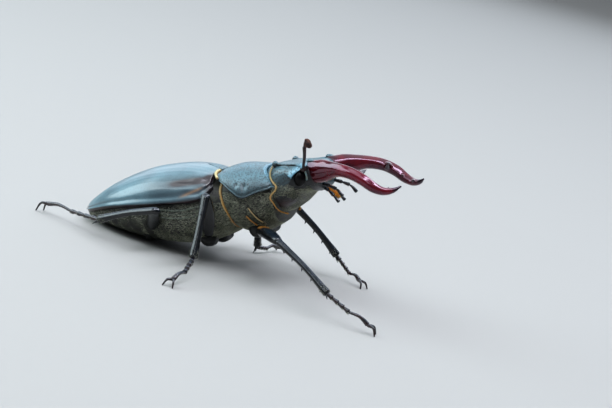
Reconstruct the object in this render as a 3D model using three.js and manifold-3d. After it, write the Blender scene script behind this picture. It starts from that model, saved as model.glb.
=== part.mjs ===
// A male stag beetle, Lucanus cervus, about 50 mm long, standing on six feet with its forebody raised.
// Millimetres. +X is forward, +Y is the beetle's left, +Z is up, and the floor is z = 0.
import * as THREE from "three";
import { mergeVertices } from "three/addons/utils/BufferGeometryUtils.js";
import Module from "manifold-3d";

const wasm = await Module();
wasm.setup();

// ---------------------------------------------------------------- driving dimensions

const GAP = 0.07; // clearance between neighbouring plates
const SMOOTHING = 0.045;

// Each tagma has its own frame: where its origin stands, its nose-up pitch and its turn to the left.
const FRAMES = {
  hindbody: { origin: [1.0, 0, 9.6], pitch: 24, turn: 0 },
  prothorax: { origin: [1.0, 0, 9.6], pitch: 14, turn: 0 },
  head: { origin: [9.5, 0, 14.0], pitch: 12, turn: 0 },
};

// Body stations: x, half width, top, height of the widest point, bottom, roundness above and below it.
const ELYTRA = [
  [-21.8, 0.5, 0.7, 0.5, 0.0, 2, 2],
  [-21.2, 2.0, 1.15, 0.5, -0.3, 2, 2],
  [-19.6, 4.3, 2.25, 0.55, -0.4, 2, 2],
  [-15.5, 6.9, 4.05, 0.75, -0.4, 2.05, 2],
  [-10.0, 8.0, 5.3, 0.5, -0.6, 2.15, 2],
  [-4.5, 7.8, 5.3, 0.15, -0.85, 2.2, 2],
  [-1.2, 7.1, 4.6, 0.3, -0.65, 2.3, 2],
  [0.5, 6.0, 3.9, 1.6, 0.3, 2.3, 2],
];
const HINDBODY = [
  [-21.4, 0.9, 0.4, 0.1, -0.35, 2, 2],
  [-20.4, 2.8, 0.9, 0.0, -0.95, 2, 2],
  [-17.5, 5.3, 2.3, -0.3, -2.3, 2, 2.2],
  [-12.5, 7.2, 3.9, -0.6, -4.5, 2.1, 2.3],
  [-7.0, 7.6, 4.4, -0.9, -6.0, 2.2, 2.4],
  [-3.0, 7.1, 4.3, -1.2, -6.3, 2.3, 2.5],
  [0.9, 6.1, 3.2, -1.4, -5.5, 2.3, 2.4],
  [3.2, 4.6, 2.0, -1.3, -4.2, 2.2, 2.2],
];
const ABDOMEN_FRONT_X = -12.2; // the hind coxae's rear edge, where the belly plates start

const SCUTELLUM = { tip: -2.0, base: 0.9, halfWidth: 1.7 };

// Upper plate of the prothorax: x at the midline, half width, top, edge height, and how far its edge
// is drawn forward of the midline.
const PRONOTUM = [
  [0.0, 5.8, 3.5, 2.5, 1.2],
  [0.6, 6.3, 4.05, 2.0, 1.5],
  [1.8, 6.9, 4.6, 1.0, 1.9],
  [3.2, 7.1, 4.95, 0.45, 2.0],
  [5.0, 6.6, 5.02, 1.3, 2.2],
  [6.4, 6.1, 4.98, 1.8, 2.2],
  [7.2, 5.6, 4.8, 2.2, 2.2],
];
const PRONOTUM_FLESH = 0.32; // depth of the plate under its side margin

const PROSTERNUM = [
  [1.3, 5.3, 3.2, 0.5, -3.4, 2.2, 2.2],
  [2.2, 5.9, 3.6, 0.5, -4.0, 2.2, 2.2],
  [4.4, 6.5, 4.1, 0.4, -4.8, 2.2, 2.2],
  [6.9, 6.2, 4.3, 0.7, -4.7, 2.2, 2.1],
  [8.9, 5.7, 3.6, 0.9, -3.6, 2.2, 2],
  [9.9, 5.1, 3.0, 0.9, -2.8, 2.2, 2],
];

const HEAD = [
  [-2.6, 3.6, 2.0, -0.3, -2.6, 2, 2],
  [-1.4, 5.0, 2.9, -0.3, -3.5, 2.4, 2.1],
  [0.6, 5.9, 3.55, 0.2, -3.9, 3.4, 2.2],
  [2.6, 6.1, 3.75, 0.9, -2.75, 3.6, 2.2],
  [4.4, 5.9, 3.95, 1.4, -0.65, 3.6, 2.3],
  [5.8, 5.0, 3.6, 1.6, -0.4, 3.0, 2.3],
  [6.4, 3.6, 3.0, 1.7, 0.2, 2.4, 2.2],
];
// The carina runs from the rear bump of the vertex out to the shelf over the eye.
const CARINA = { path: [[-0.3, 4.3, 3.1], [2.2, 4.9, 3.25], [4.4, 5.6, 3.6]], radius: 0.4, bump: 0.62 };
// The canthus is a shelf that comes down from the front corner over the eye.
const CANTHUS = {
  path: [[5.0, 5.7, 3.5], [4.1, 6.1, 2.85], [3.3, 6.1, 2.1], [2.8, 5.8, 1.3]],
  size: [0.55, 0.32],
};
const EYE = { centre: [3.9, 5.5, 1.6], size: [1.0, 0.95, 1.25] };
const LABRUM = { from: 5.9, to: 7.7, halfWidth: 1.9, top: 3.0, bottom: 1.9 };

// Right mandible: x, distance from the midline, height, half width across, half height.
const MANDIBLE = [
  [4.6, 3.9, 2.5, 1.15, 1.65],
  [6.0, 4.3, 2.65, 1.2, 1.6],
  [7.6, 5.1, 2.95, 1.15, 1.45],
  [9.6, 6.3, 3.35, 0.96, 0.93],
  [12.0, 7.3, 3.15, 0.86, 0.8],
  [13.9, 7.65, 2.45, 0.82, 0.76],
  [15.5, 7.55, 1.55, 0.78, 0.7],
  [16.9, 7.1, 1.15, 0.64, 0.56],
  [18.0, 6.4, 1.35, 0.42, 0.38],
  [18.9, 5.5, 1.95, 0.13, 0.13],
];
const MANDIBLE_TEETH = [
  { root: [12.9, 7.0, 3.1], tip: [13.6, 5.1, 3.75], radius: 0.66 },
  { root: [17.0, 6.8, 1.2], tip: [17.2, 5.6, 1.7], radius: 0.42 },
  { root: [15.2, 7.1, 1.9], tip: [15.3, 6.35, 2.1], radius: 0.28 },
];

// Antennae: base, elbow and club end, in the head's frame.
const ANTENNAE = {
  right: { base: [4.45, -6.0, 3.0], elbow: [5.5, -9.0, 6.5], end: [6.9, -12.6, 7.9] },
  left: { base: [4.45, 6.0, 3.0], elbow: [2.0, 9.6, 1.6], end: [2.8, 13.6, 2.2] },
};
const ANTENNA = { stalk: [0.26, 0.34], stem: 0.27, leaves: 4, leafLength: 1.0, leafWay: [0.78, 0, -0.62] };

// Mouthparts: paths in the head's frame for the right side, with radii at both ends.
const PALPS = {
  maxillary: {
    path: [[5.6, 2.4, 1.0], [7.6, 2.9, 0.62], [8.8, 3.1, 0.2], [9.7, 3.2, -0.65]],
    radii: [0.28, 0.25],
  },
  labial: {
    path: [[5.4, 1.0, 0.4], [6.9, 1.1, -0.3], [7.9, 1.3, -1.1], [8.6, 1.4, -1.75]],
    radii: [0.27, 0.25],
  },
};
const MOUTH_BRUSH = { from: [5.5, 0, 0.7], to: [8.1, 0, -1.1], halfWidth: 0.8, thick: 0.5 };

// Legs: hip, knee, ankle, end of the fourth joint of the foot and end of the fifth, where the claws start.
const LEGS = {
  right_front: {
    coxa: [8.0, -2.6, 6.7], knee: [13.7, -10.0, 7.7], ankle: [23.5, -13.0, 3.6],
    pads: [27.2, -13.3, 2.25], wrist: [30.2, -12.7, 1.2],
  },
  right_middle: {
    coxa: [1.3, -3.3, 3.3], knee: [2.4, -12.2, 11.0], ankle: [4.3, -16.2, 2.9],
    pads: [4.9, -19.9, 1.6], wrist: [4.7, -23.2, 0.95],
  },
  right_hind: {
    coxa: [-7.5, -3.4, 1.3], knee: [-4.4, -12.0, 6.7], ankle: [-12.9, -11.1, 2.6],
    pads: [-18.0, -9.1, 2.0], wrist: [-22.6, -7.4, 1.5],
  },
  left_front: {
    coxa: [8.0, 2.6, 6.7], knee: [8.3, 10.0, 9.3], ankle: [15.9, 13.3, 3.3],
    pads: [18.4, 13.6, 1.3], wrist: [20.3, 12.8, 0.95],
  },
  left_middle: {
    coxa: [1.3, 3.3, 3.3], knee: [2.4, 10.4, 9.9], ankle: [3.9, 11.9, 1.0],
    pads: [4.6, 14.2, 0.75], wrist: [5.3, 16.9, 0.8],
  },
  left_hind: {
    coxa: [-7.5, 3.4, 1.3], knee: [-5.2, 11.4, 6.9], ankle: [-10.6, 15.2, 2.5],
    pads: [-14.2, 17.2, 1.2], wrist: [-17.6, 18.4, 1.1],
  },
};
// Hips: how far from the midline they start and end, how much the outer end rises, and half sizes.
const COXA = {
  front: { from: 0.7, to: 4.3, rise: 0.6, size: [1.15, 1.1] },
  middle: { from: 1.0, to: 4.2, rise: 0.7, size: [1.2, 1.05] },
  hind: { from: 0.6, to: 5.4, rise: 1.0, size: [1.15, 0.9] },
};
const FEMUR = { middle: [1.12, 0.8], ends: [0.68, 0.55] };
const TIBIA = { knee: 0.6, middle: 0.5, ankle: 0.66, bow: 0.3 };
const THORNS = {
  front: { count: 4, length: 0.32, radius: 0.26 },
  middle: { count: 2, length: 0.32, radius: 0.25 },
  hind: { count: 1, length: 0.32, radius: 0.25 },
};
const SPUR = { length: 1.25, radius: 0.27 };
const TARSUS = { joint: [0.26, 0.42], last: [0.25, 0.4], arch: 0.35 };
const CLAW = { length: 1.5, spread: 32, radii: [0.25, 0.16] };

// ---------------------------------------------------------------- colours

const material = (color, roughness, metalness = 0) =>
  new THREE.MeshStandardMaterial({ color, roughness, metalness });
const MATERIALS = {
  elytra: material(0x1d1416, 0.3),
  cuticle: material(0x15151a, 0.42),
  belly: material(0x24221d, 0.6),
  mandible: material(0x5a0d12, 0.2),
  eye: material(0x120b08, 0.12),
  limb: material(0x121218, 0.32),
  antenna: material(0x2a1a16, 0.5),
  brush: material(0xd98a1c, 0.8),
};

// ---------------------------------------------------------------- shape tools

const RAD = Math.PI / 180;
const vector = (p) => new THREE.Vector3(...p);
const mirrored = ([x, y, z], side) => [x, side * y, z];
const mix = (a, b, t) => a + (b - a) * t;

// Values on a smooth curve through the stations, at t from 0 to 1.
function along(stations, t) {
  const last = stations.length - 1;
  const at = Math.min(t * last, last - 1e-9);
  const i = Math.floor(at);
  const s = at - i;
  const knot = (k) => stations[Math.min(Math.max(k, 0), last)];
  return stations[0].map((_, k) => {
    const [p, a, b, n] = [knot(i - 1)[k], knot(i)[k], knot(i + 1)[k], knot(i + 2)[k]];
    const [m0, m1] = [(b - p) / 2, (n - a) / 2];
    return a + s * (m0 + s * (3 * (b - a) - 2 * m0 - m1 + s * (2 * (a - b) + m0 + m1)));
  });
}

// A closed body through rings of points, each end closed on its middle.
function skinOf(rings) {
  const sides = rings[0].length;
  const middle = (ring) => ring.reduce((sum, p) => sum.add(p), new THREE.Vector3()).divideScalar(sides);
  const points = [...rings.flat(), middle(rings[0]), middle(rings.at(-1))];
  const [first, last] = [points.length - 2, points.length - 1];
  const index = [];
  for (let j = 0; j < sides; j++) {
    const k = (j + 1) % sides;
    for (let i = 0; i + 1 < rings.length; i++) {
      const [a, b, c, d] = [i * sides + j, i * sides + k, (i + 1) * sides + j, (i + 1) * sides + k];
      index.push(a, b, c, b, d, c);
    }
    const end = (rings.length - 1) * sides;
    index.push(first, k, j, last, end + j, end + k);
  }
  return new THREE.BufferGeometry().setFromPoints(points).setIndex(index);
}

// The manifold solid of a closed geometry, turned to face out.
function solid(geometry) {
  const bare = geometry.clone();
  ["normal", "uv"].forEach((name) => bare.deleteAttribute(name));
  const merged = mergeVertices(bare, 1e-4);
  const vertProperties = merged.attributes.position.array;
  const build = (triVerts) => new wasm.Manifold(new wasm.Mesh({ numProp: 3, vertProperties, triVerts }));
  const triangles = new Uint32Array(merged.index.array);
  const made = build(triangles);
  return made.volume() > 0 ? made : build(triangles.reverse());
}

function geometryOf(body) {
  const { numProp, numVert, vertProperties, triVerts } = body.getMesh();
  const position = new Float32Array(numVert * 3);
  for (let i = 0; i < numVert; i++) {
    position.set(vertProperties.subarray(i * numProp, i * numProp + 3), i * 3);
  }
  return new THREE.BufferGeometry()
    .setAttribute("position", new THREE.BufferAttribute(position, 3))
    .setIndex(new THREE.BufferAttribute(triVerts, 1));
}

const joined = (bodies) => bodies.reduce((all, body) => all.add(body));
const cutBy = (body, ...cutters) => cutters.reduce((left, cutter) => left.subtract(cutter), body);
const keepLargest = (body) => body.decompose().reduce((a, b) => (b.volume() > a.volume() ? b : a));

// A body section across X: two halves of a superellipse that meet at the widest point.
function section([x, w, top, side, bottom, above, below], sides, grow) {
  return Array.from({ length: sides }, (_, k) => {
    const turn = (2 * Math.PI * k) / sides;
    const [c, s] = [Math.cos(turn), Math.sin(turn)];
    const power = 2 / (s >= 0 ? above : below);
    const height = (s >= 0 ? top - side : side - bottom) + grow;
    return new THREE.Vector3(
      x,
      (w + grow) * Math.sign(c) * Math.abs(c) ** power,
      side + height * Math.sign(s) * Math.abs(s) ** power,
    );
  });
}

function loft(stations, count, sides, grow = 0) {
  return skinOf(
    Array.from({ length: count }, (_, i) => {
      const station = along(stations, i / (count - 1));
      if (i === 0) station[0] -= grow;
      if (i === count - 1) station[0] += grow;
      return section(station, sides, grow);
    }),
  );
}

const pathThrough = (points) => new THREE.CatmullRomCurve3(points.map(vector), false, "centripetal");

// An oval ring of points square to a direction: a is its half width, b its half height.
function ringAt(point, ahead, [a, b], sides, up = [0, 0, 1]) {
  const across = vector(up).cross(ahead).normalize();
  const over = ahead.clone().cross(across);
  return Array.from({ length: sides }, (_, k) => {
    const turn = (2 * Math.PI * k) / sides;
    const rim = point.clone().addScaledVector(across, a * Math.cos(turn));
    return rim.addScaledVector(over, b * Math.sin(turn));
  });
}

// A tube along a path of points; radiusAt gives its half width and half height at t from 0 to 1.
function tube(path, radiusAt, { sides = 8, steps = 6, up = [0, 0, 1] } = {}) {
  const curve = pathThrough(path);
  return skinOf(
    Array.from({ length: steps + 1 }, (_, i) => {
      const t = i / steps;
      return ringAt(curve.getPoint(t), curve.getTangent(t), radiusAt(t), sides, up);
    }),
  );
}

const rounded = (t, r, end = 0.35) => r * Math.sqrt(Math.max(1 - Math.abs(2 * t - 1) ** 6, end * end));
const ball = (centre, size, detail = 10) =>
  new THREE.SphereGeometry(1, detail, Math.round(detail * 0.7)).scale(...size).translate(...centre);
const block = (low, high) => {
  const size = high.map((h, i) => h - low[i]);
  const middle = high.map((h, i) => (h + low[i]) / 2);
  return new THREE.BoxGeometry(...size).translate(...middle);
};
const spike = (root, tip, radius) => {
  const taper = (t) => [mix(radius, 0.04, t), mix(radius, 0.04, t)];
  return tube([root, tip], taper, { sides: 4, steps: 1, up: [0.3, 0.2, 1] });
};

// ---------------------------------------------------------------- frames

const beetle = new THREE.Group();
const frames = Object.fromEntries(
  Object.entries(FRAMES).map(([name, { origin, pitch, turn }]) => {
    const group = new THREE.Group();
    group.position.set(...origin);
    group.rotation.set(0, -pitch * RAD, turn * RAD, "ZYX");
    group.updateMatrixWorld(true);
    beetle.add(group);
    return [name, group];
  }),
);
const legs = new THREE.Group();
beetle.add(legs);
frames.legs = legs;

// The solid of a geometry drawn in a frame's own axes, in the axes that all the frames share.
const inWorld = (frame, geometry) => solid(geometry.clone().applyMatrix4(frames[frame].matrixWorld));

// Adds a finished solid to the beetle, as a mesh in its frame's own axes.
function show(name, frame, body, finish) {
  const geometry = geometryOf(keepLargest(body.simplify(SMOOTHING)));
  geometry.applyMatrix4(frames[frame].matrixWorld.clone().invert());
  const mesh = new THREE.Mesh(geometry, MATERIALS[finish]);
  mesh.name = name;
  frames[frame].add(mesh);
}

const SIDES = { right: -1, left: 1 };

// ---------------------------------------------------------------- hindbody

const hindbodyOf = (grow) => inWorld("hindbody", loft(HINDBODY, 10, 14, grow));
const hindbody = hindbodyOf(0);
const hindbodyRoom = hindbodyOf(GAP);

// Everything on one side of the seam between the wing cases.
const halfSpace = (side) => {
  const [low, high] = side > 0 ? [GAP / 2, 30] : [-30, -GAP / 2];
  return inWorld("hindbody", block([-30, low, -30], [30, high, 30]));
};

function scutellumPrism(grow) {
  const { tip, base, halfWidth } = SCUTELLUM;
  const outline = new THREE.Shape();
  outline.moveTo(base + grow, -halfWidth - grow);
  outline.lineTo(base + grow, halfWidth + grow);
  outline.quadraticCurveTo(tip + 0.6, halfWidth * 0.9 + grow, tip - grow, 0);
  outline.quadraticCurveTo(tip + 0.6, -halfWidth * 0.9 - grow, base + grow, -halfWidth - grow);
  const prism = new THREE.ExtrudeGeometry(outline, { depth: 10, bevelEnabled: false, curveSegments: 5 });
  return inWorld("hindbody", prism);
}

const dome = inWorld("hindbody", loft(ELYTRA, 12, 22));
for (const [name, side] of Object.entries(SIDES)) {
  const elytron = dome.intersect(halfSpace(side));
  show(`elytron_${name}`, "hindbody", cutBy(elytron, hindbodyRoom, scutellumPrism(GAP)), "elytra");
}
show("scutellum", "hindbody", cutBy(dome.intersect(scutellumPrism(0)), hindbodyRoom), "cuticle");

// ---------------------------------------------------------------- prothorax

// One ring of the pronotum: over the back from left to right and back under, its edges drawn forward.
function pronotumRing([x, w, top, edge, forward], steps, grow) {
  const flesh = PRONOTUM_FLESH + grow;
  const shares = Array.from({ length: steps + 1 }, (_, k) => Math.cos((Math.PI * k) / steps));
  const at = (share, z) => new THREE.Vector3(x + forward * share ** 4, (w + grow) * share, z);
  const arch = (share) => edge + (top - edge + grow) * Math.sqrt(1 - Math.abs(share) ** 2.3);
  const over = shares.map((share) => at(share, arch(share)));
  const under = shares.slice(1, -1).reverse().map((share) => at(share * 0.98, edge - flesh));
  return [...over, at(-0.985, edge - flesh * 0.7), ...under, at(0.985, edge - flesh * 0.7)];
}

function pronotumOf(grow) {
  const count = 8;
  const rings = Array.from({ length: count }, (_, i) => {
    const station = along(PRONOTUM, i / (count - 1));
    if (i === 0) station[0] -= grow;
    if (i === count - 1) station[0] += grow;
    return pronotumRing(station, 10, grow);
  });
  return inWorld("prothorax", skinOf(rings));
}

const skullOf = (grow) => inWorld("head", loft(HEAD, 9, 14, grow));
const skullRoom = skullOf(GAP);
const prosternumBlock = inWorld("prothorax", loft(PROSTERNUM, 7, 14));

show("pronotum", "prothorax", cutBy(pronotumOf(0), hindbodyRoom, skullRoom), "cuticle");
const prosternum = cutBy(prosternumBlock, pronotumOf(GAP), hindbodyRoom, skullRoom);

// ---------------------------------------------------------------- head

// The ridge on one side of the head, the bump it starts from and the shelf over the eye.
function ridgesOf(side) {
  const { radius, bump } = CARINA;
  const [ridge, shelf] = [CARINA.path, CANTHUS.path].map((path) => path.map((p) => mirrored(p, side)));
  return joined([
    inWorld("head", tube(ridge, (t) => [rounded(t, radius), rounded(t, radius)], { sides: 6, steps: 4 })),
    inWorld("head", ball(ridge[0], [bump, bump, bump], 5)),
    inWorld("head", tube(shelf, (t) => CANTHUS.size.map((r) => rounded(t, r)), { sides: 6, steps: 4 })),
  ]);
}

const eyeOf = (side, grow) => {
  const size = EYE.size.map((r) => r + grow);
  return inWorld("head", ball(mirrored(EYE.centre, side), size, 7));
};

function mandibleOf(side, grow) {
  const path = MANDIBLE.map(([x, y, z]) => [x, side * y, z]);
  const sizes = MANDIBLE.map((station) => station.slice(3));
  const horn = tube(path, (t) => along(sizes, t).map((r) => r + grow), { sides: 8, steps: 12 });
  const teeth = MANDIBLE_TEETH.map(({ root, tip, radius }) =>
    inWorld("head", spike(mirrored(root, side), mirrored(tip, side), radius + grow)),
  );
  return joined([inWorld("head", horn), ...teeth]);
}

function palpOf({ path, radii }, side, grow) {
  const points = path.map((p) => mirrored(p, side));
  const round = (t) => [0, 0].fill(mix(...radii, t) + grow);
  return inWorld("head", tube(points, round, { sides: 6, steps: 5 }));
}

function labrumOf() {
  const { from, to, halfWidth, top, bottom } = LABRUM;
  const middle = (top + bottom) / 2;
  const plate = [
    [from, halfWidth, top, middle, bottom - 0.5, 3, 3],
    [mix(from, to, 0.6), halfWidth * 0.95, top - 0.1, middle, bottom, 3, 3],
    [to, halfWidth * 0.6, top - 0.35, middle, bottom + 0.15, 2.5, 2.5],
  ];
  return inWorld("head", loft(plate, 4, 10));
}

function brushOf(grow) {
  const { from, to, halfWidth, thick } = MOUTH_BRUSH;
  const size = (t) => [mix(halfWidth, halfWidth * 0.75, t) + grow, mix(thick, thick * 0.45, t) + grow];
  return inWorld("head", tube([from, to], size, { sides: 8, steps: 3 }));
}

const rooms = Object.fromEntries(
  Object.entries(SIDES).map(([name, side]) => {
    return [name, { eye: eyeOf(side, GAP), mandible: mandibleOf(side, GAP) }];
  }),
);
const sockets = Object.values(rooms).flatMap(({ eye, mandible }) => [eye, mandible]);
const ridges = joined(Object.values(SIDES).map(ridgesOf));
const headRoom = skullRoom.add(ridges);

show("head", "head", cutBy(skullOf(0).add(ridges), ...sockets), "cuticle");
show("labrum", "head", cutBy(labrumOf(), headRoom, ...sockets), "cuticle");
show("mouth_brush", "head", cutBy(brushOf(0), headRoom), "brush");
for (const [name, side] of Object.entries(SIDES)) {
  const { mandible } = rooms[name];
  const inner = palpOf(PALPS.labial, side, 0);
  const outer = palpOf(PALPS.maxillary, side, 0);
  show(`eye_${name}`, "head", cutBy(eyeOf(side, 0), mandible), "eye");
  show(`mandible_${name}`, "head", mandibleOf(side, 0), "mandible");
  show(`labial_palp_${name}`, "head", cutBy(inner, headRoom, brushOf(GAP)), "limb");
  show(`maxillary_palp_${name}`, "head", cutBy(outer, headRoom, brushOf(GAP), mandible), "limb");
}

// ---------------------------------------------------------------- antennae

// A long stalk, an elbow, a beaded stem and a club of leaves on the stem's outer half.
function antenna(name, { base, elbow, end }) {
  const { eye, mandible } = rooms[name];
  const [bend, tip] = [vector(elbow), vector(end)];
  const middle = bend.clone().lerp(tip, 0.5);
  const stalk = (grow) => {
    const round = (t) => [0, 0].fill(mix(...ANTENNA.stalk, t) + grow);
    return inWorld("head", tube([base, elbow], round, { sides: 6, steps: 2 }));
  };
  const stem = (from, to, grow) => {
    const r = ANTENNA.stem + grow;
    return inWorld("head", tube([from.toArray(), to.toArray()], () => [r, r], { sides: 6, steps: 2 }));
  };
  const leaves = Array.from({ length: ANTENNA.leaves }, (_, k) => {
    const root = middle.clone().lerp(tip, (k + 0.6) / (ANTENNA.leaves + 0.1));
    const reach = ANTENNA.leafLength * (0.7 + 0.45 * Math.sin((Math.PI * (k + 0.8)) / ANTENNA.leaves));
    const leafTip = root.clone().addScaledVector(vector(ANTENNA.leafWay).normalize(), reach);
    const up = tip.clone().sub(bend).toArray();
    const flat = (t) => [ANTENNA.stem + 0.1 * t, ANTENNA.stem];
    return inWorld("head", tube([root.toArray(), leafTip.toArray()], flat, { sides: 4, steps: 1, up }));
  });
  show(`antenna_${name}_scape`, "head", cutBy(stalk(0), headRoom, eye, mandible), "antenna");
  show(`antenna_${name}_funicle`, "head", cutBy(stem(bend, middle, 0), stalk(GAP)), "antenna");
  const club = joined([stem(middle, tip, 0), ...leaves]);
  show(`antenna_${name}_club`, "head", cutBy(club, stem(bend, middle, GAP)), "antenna");
}
for (const [name, points] of Object.entries(ANTENNAE)) antenna(name, points);

// ---------------------------------------------------------------- legs

const between = (a, b, t) => vector(a).lerp(vector(b), t).toArray();
const lifted = (p, z) => [p[0], p[1], p[2] + z];

// The hip: a bar that lies across the belly, sunk into it.
function coxaOf({ coxa }, pair, grow) {
  const side = Math.sign(coxa[1]);
  const { from, to, rise, size } = COXA[pair];
  const bar = [[coxa[0], side * from, coxa[2]], coxa, [coxa[0] + 0.3, side * to, coxa[2] + rise]];
  return solid(tube(bar, (t) => size.map((r) => rounded(t, r) + grow), { sides: 6, steps: 3 }));
}

// The thigh swells in the middle and ends in the knee.
function femurOf({ coxa, knee }, grow) {
  const hip = between(coxa, knee, 0.1);
  const path = [hip, lifted(between(hip, knee, 0.5), 0.25), between(hip, knee, 1.03)];
  return solid(tube(path, (t) => {
    const swell = Math.sin(Math.PI * Math.min(t * 1.05, 1)) ** 0.7;
    const knob = t > 0.99 ? 0.6 : 1;
    return FEMUR.ends.map((r, k) => mix(r, FEMUR.middle[k], swell) * knob + grow);
  }, { sides: 6, steps: 4 }));
}

// The shin, with thorns along its outer edge and two spurs at its end.
function tibiaOf({ coxa, knee, ankle }, pair, grow) {
  const side = Math.sign(coxa[1]);
  const path = [between(knee, ankle, -0.02), lifted(between(knee, ankle, 0.5), TIBIA.bow), ankle];
  const thickness = [[TIBIA.knee], [TIBIA.middle], [TIBIA.middle], [TIBIA.ankle]];
  const bone = solid(tube(path, (t) => {
    const r = along(thickness, t)[0] * (t > 0.99 ? 0.8 : 1) + grow;
    return [r, r * 0.88];
  }, { sides: 6, steps: 4 }));
  const curve = pathThrough(path);
  const foot = vector(ankle).sub(vector(knee)).normalize();
  const outward = new THREE.Vector3(0, side, 0).addScaledVector(foot, -foot.y * side).normalize();
  const downward = new THREE.Vector3(0, 0, -1).addScaledVector(foot, foot.z).normalize();
  const edge = pair === "front" ? downward : outward;
  const { count, length, radius } = THORNS[pair];
  const thorns = Array.from({ length: count }, (_, k) => {
    const root = curve.getPoint(count > 1 ? mix(0.3, 0.86, k / (count - 1)) : 0.58);
    const tip = root.clone().addScaledVector(edge, TIBIA.middle + length).addScaledVector(foot, 0.45);
    return solid(spike(root.toArray(), tip.toArray(), radius + grow));
  });
  const spurs = [-1, 1].map((turn) => {
    const root = curve.getPoint(0.95);
    const tip = root.clone().addScaledVector(foot, SPUR.length).addScaledVector(downward, 0.5);
    tip.addScaledVector(outward, 0.5 * turn);
    return solid(spike(root.toArray(), tip.toArray(), SPUR.radius + grow));
  });
  return joined([bone, ...thorns, ...spurs]);
}

// The foot: four short joints that widen forward, a long arched one, and two claws down to the floor.
function tarsusOf({ ankle, pads, wrist }) {
  const [thin, wide] = TARSUS.joint;
  const chain = pathThrough([between(ankle, pads, -0.03), between(ankle, pads, 0.5), pads]);
  const arch = pathThrough([pads, lifted(between(pads, wrist, 0.55), TARSUS.arch), wrist]);
  const ringOn = (curve, t, r) => ringAt(curve.getPoint(t), curve.getTangent(t), [r, r * 0.88], 5);
  const joints = Array.from({ length: 4 }, (_, k) => [
    ringOn(chain, (k + 0.03) / 4, thin),
    ringOn(chain, (k + 0.97) / 4, wide),
  ]);
  const last = [0.06, 0.4, 0.75, 1].map((t) => ringOn(arch, t, mix(...TARSUS.last, t)));
  const ahead = vector(wrist).sub(vector(pads)).setZ(0).normalize();
  const claws = [-1, 1].map((turn) => {
    const way = ahead.clone().applyAxisAngle(new THREE.Vector3(0, 0, 1), turn * CLAW.spread * RAD);
    const bend = vector(wrist).addScaledVector(way, CLAW.length * 0.62).setZ(wrist[2] * 0.92);
    const tip = vector(wrist).addScaledVector(way, CLAW.length).setZ(0);
    return solid(tube([wrist, bend.toArray(), tip.toArray()], (t) => {
      const r = mix(...CLAW.radii, t);
      return [r, r];
    }, { sides: 4, steps: 2 }));
  });
  return joined([solid(skinOf([...joints.flat(), ...last])), ...claws]);
}

const underFloor = solid(block([-60, -60, -10], [60, 60, 0]));
const legRoom = [];
for (const [name, leg] of Object.entries(LEGS)) {
  const pair = name.split("_")[1];
  const [coxaRoom, femurRoom] = [coxaOf(leg, pair, GAP), femurOf(leg, GAP)];
  legRoom.push(coxaRoom, femurRoom);
  const neighbours = pair === "front" ? [hindbodyRoom] : [];
  show(`leg_${name}_coxa`, "legs", cutBy(coxaOf(leg, pair, 0), ...neighbours), "limb");
  show(`leg_${name}_femur`, "legs", cutBy(femurOf(leg, 0), coxaRoom), "limb");
  show(`leg_${name}_tibia`, "legs", cutBy(tibiaOf(leg, pair, 0), femurRoom), "limb");
  show(`leg_${name}_tarsus`, "legs", cutBy(tarsusOf(leg), tibiaOf(leg, pair, GAP), underFloor), "limb");
}

// ---------------------------------------------------------------- trunk, cut for the hips

const behind = inWorld("hindbody", block([-40, -30, -30], [ABDOMEN_FRONT_X - GAP / 2, 30, 30]));
const before = inWorld("hindbody", block([ABDOMEN_FRONT_X + GAP / 2, -30, -30], [40, 30, 30]));
show("abdomen", "hindbody", cutBy(hindbody.intersect(behind), ...legRoom), "belly");
show("pterothorax", "hindbody", cutBy(hindbody.intersect(before), ...legRoom), "belly");
show("prosternum", "prothorax", cutBy(prosternum, ...legRoom), "cuticle");

// The part's origin: on the floor, under the middle of the whole beetle.
const { min, max } = new THREE.Box3().setFromObject(beetle);
beetle.position.set(-(min.x + max.x) / 2, -(min.y + max.y) / 2, 0);

export default beetle;
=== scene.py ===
"""The looks of a life-size male stag beetle, Lucanus cervus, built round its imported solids.

Shapes are worked out in millimetres, in the axes of the part that carries them, and are then moved to the
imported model's frame and turned to metres.
"""

import math

import bmesh
import bpy
import numpy as np
from mathutils import Matrix, Vector


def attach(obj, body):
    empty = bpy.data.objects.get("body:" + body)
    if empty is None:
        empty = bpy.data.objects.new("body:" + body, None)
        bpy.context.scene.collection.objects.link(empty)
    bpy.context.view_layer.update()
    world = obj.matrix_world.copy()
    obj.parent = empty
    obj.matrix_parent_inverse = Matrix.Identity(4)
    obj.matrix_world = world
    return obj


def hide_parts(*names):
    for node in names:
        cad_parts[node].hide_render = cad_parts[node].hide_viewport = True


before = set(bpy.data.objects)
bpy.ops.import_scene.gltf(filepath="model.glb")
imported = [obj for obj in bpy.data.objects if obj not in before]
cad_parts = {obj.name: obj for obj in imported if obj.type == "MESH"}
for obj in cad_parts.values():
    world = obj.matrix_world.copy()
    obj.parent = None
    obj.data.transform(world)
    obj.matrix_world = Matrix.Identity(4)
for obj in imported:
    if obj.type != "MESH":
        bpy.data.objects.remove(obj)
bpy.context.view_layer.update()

bl_info = {
    "name": "Stag Beetle",
    "version": (1, 0, 0),
    "blender": (4, 5, 0),
    "location": "View3D > Sidebar > Beetle",
    "description": "Builds the plates, jaws, legs, down and studio of a life-size stag beetle",
    "category": "Object",
}

# ---------------------------------------------------------------- driving dimensions, in millimetres

MM = 0.001
TO_ROW = np.array((-3.76136, 2.47681, 0.0))  # from the hips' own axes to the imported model's origin

# Each part of the body has its own axes: where its origin stands and its nose-up pitch in degrees.
PARTS = {
    "hindbody": ((1.0, 0.0, 9.6), 24.0),
    "prothorax": ((1.0, 0.0, 9.6), 14.0),
    "head": ((9.5, 0.0, 14.0), 12.0),
    "legs": ((0.0, 0.0, 0.0), 0.0),
}
SIDES = {"right": -1, "left": 1}

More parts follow.
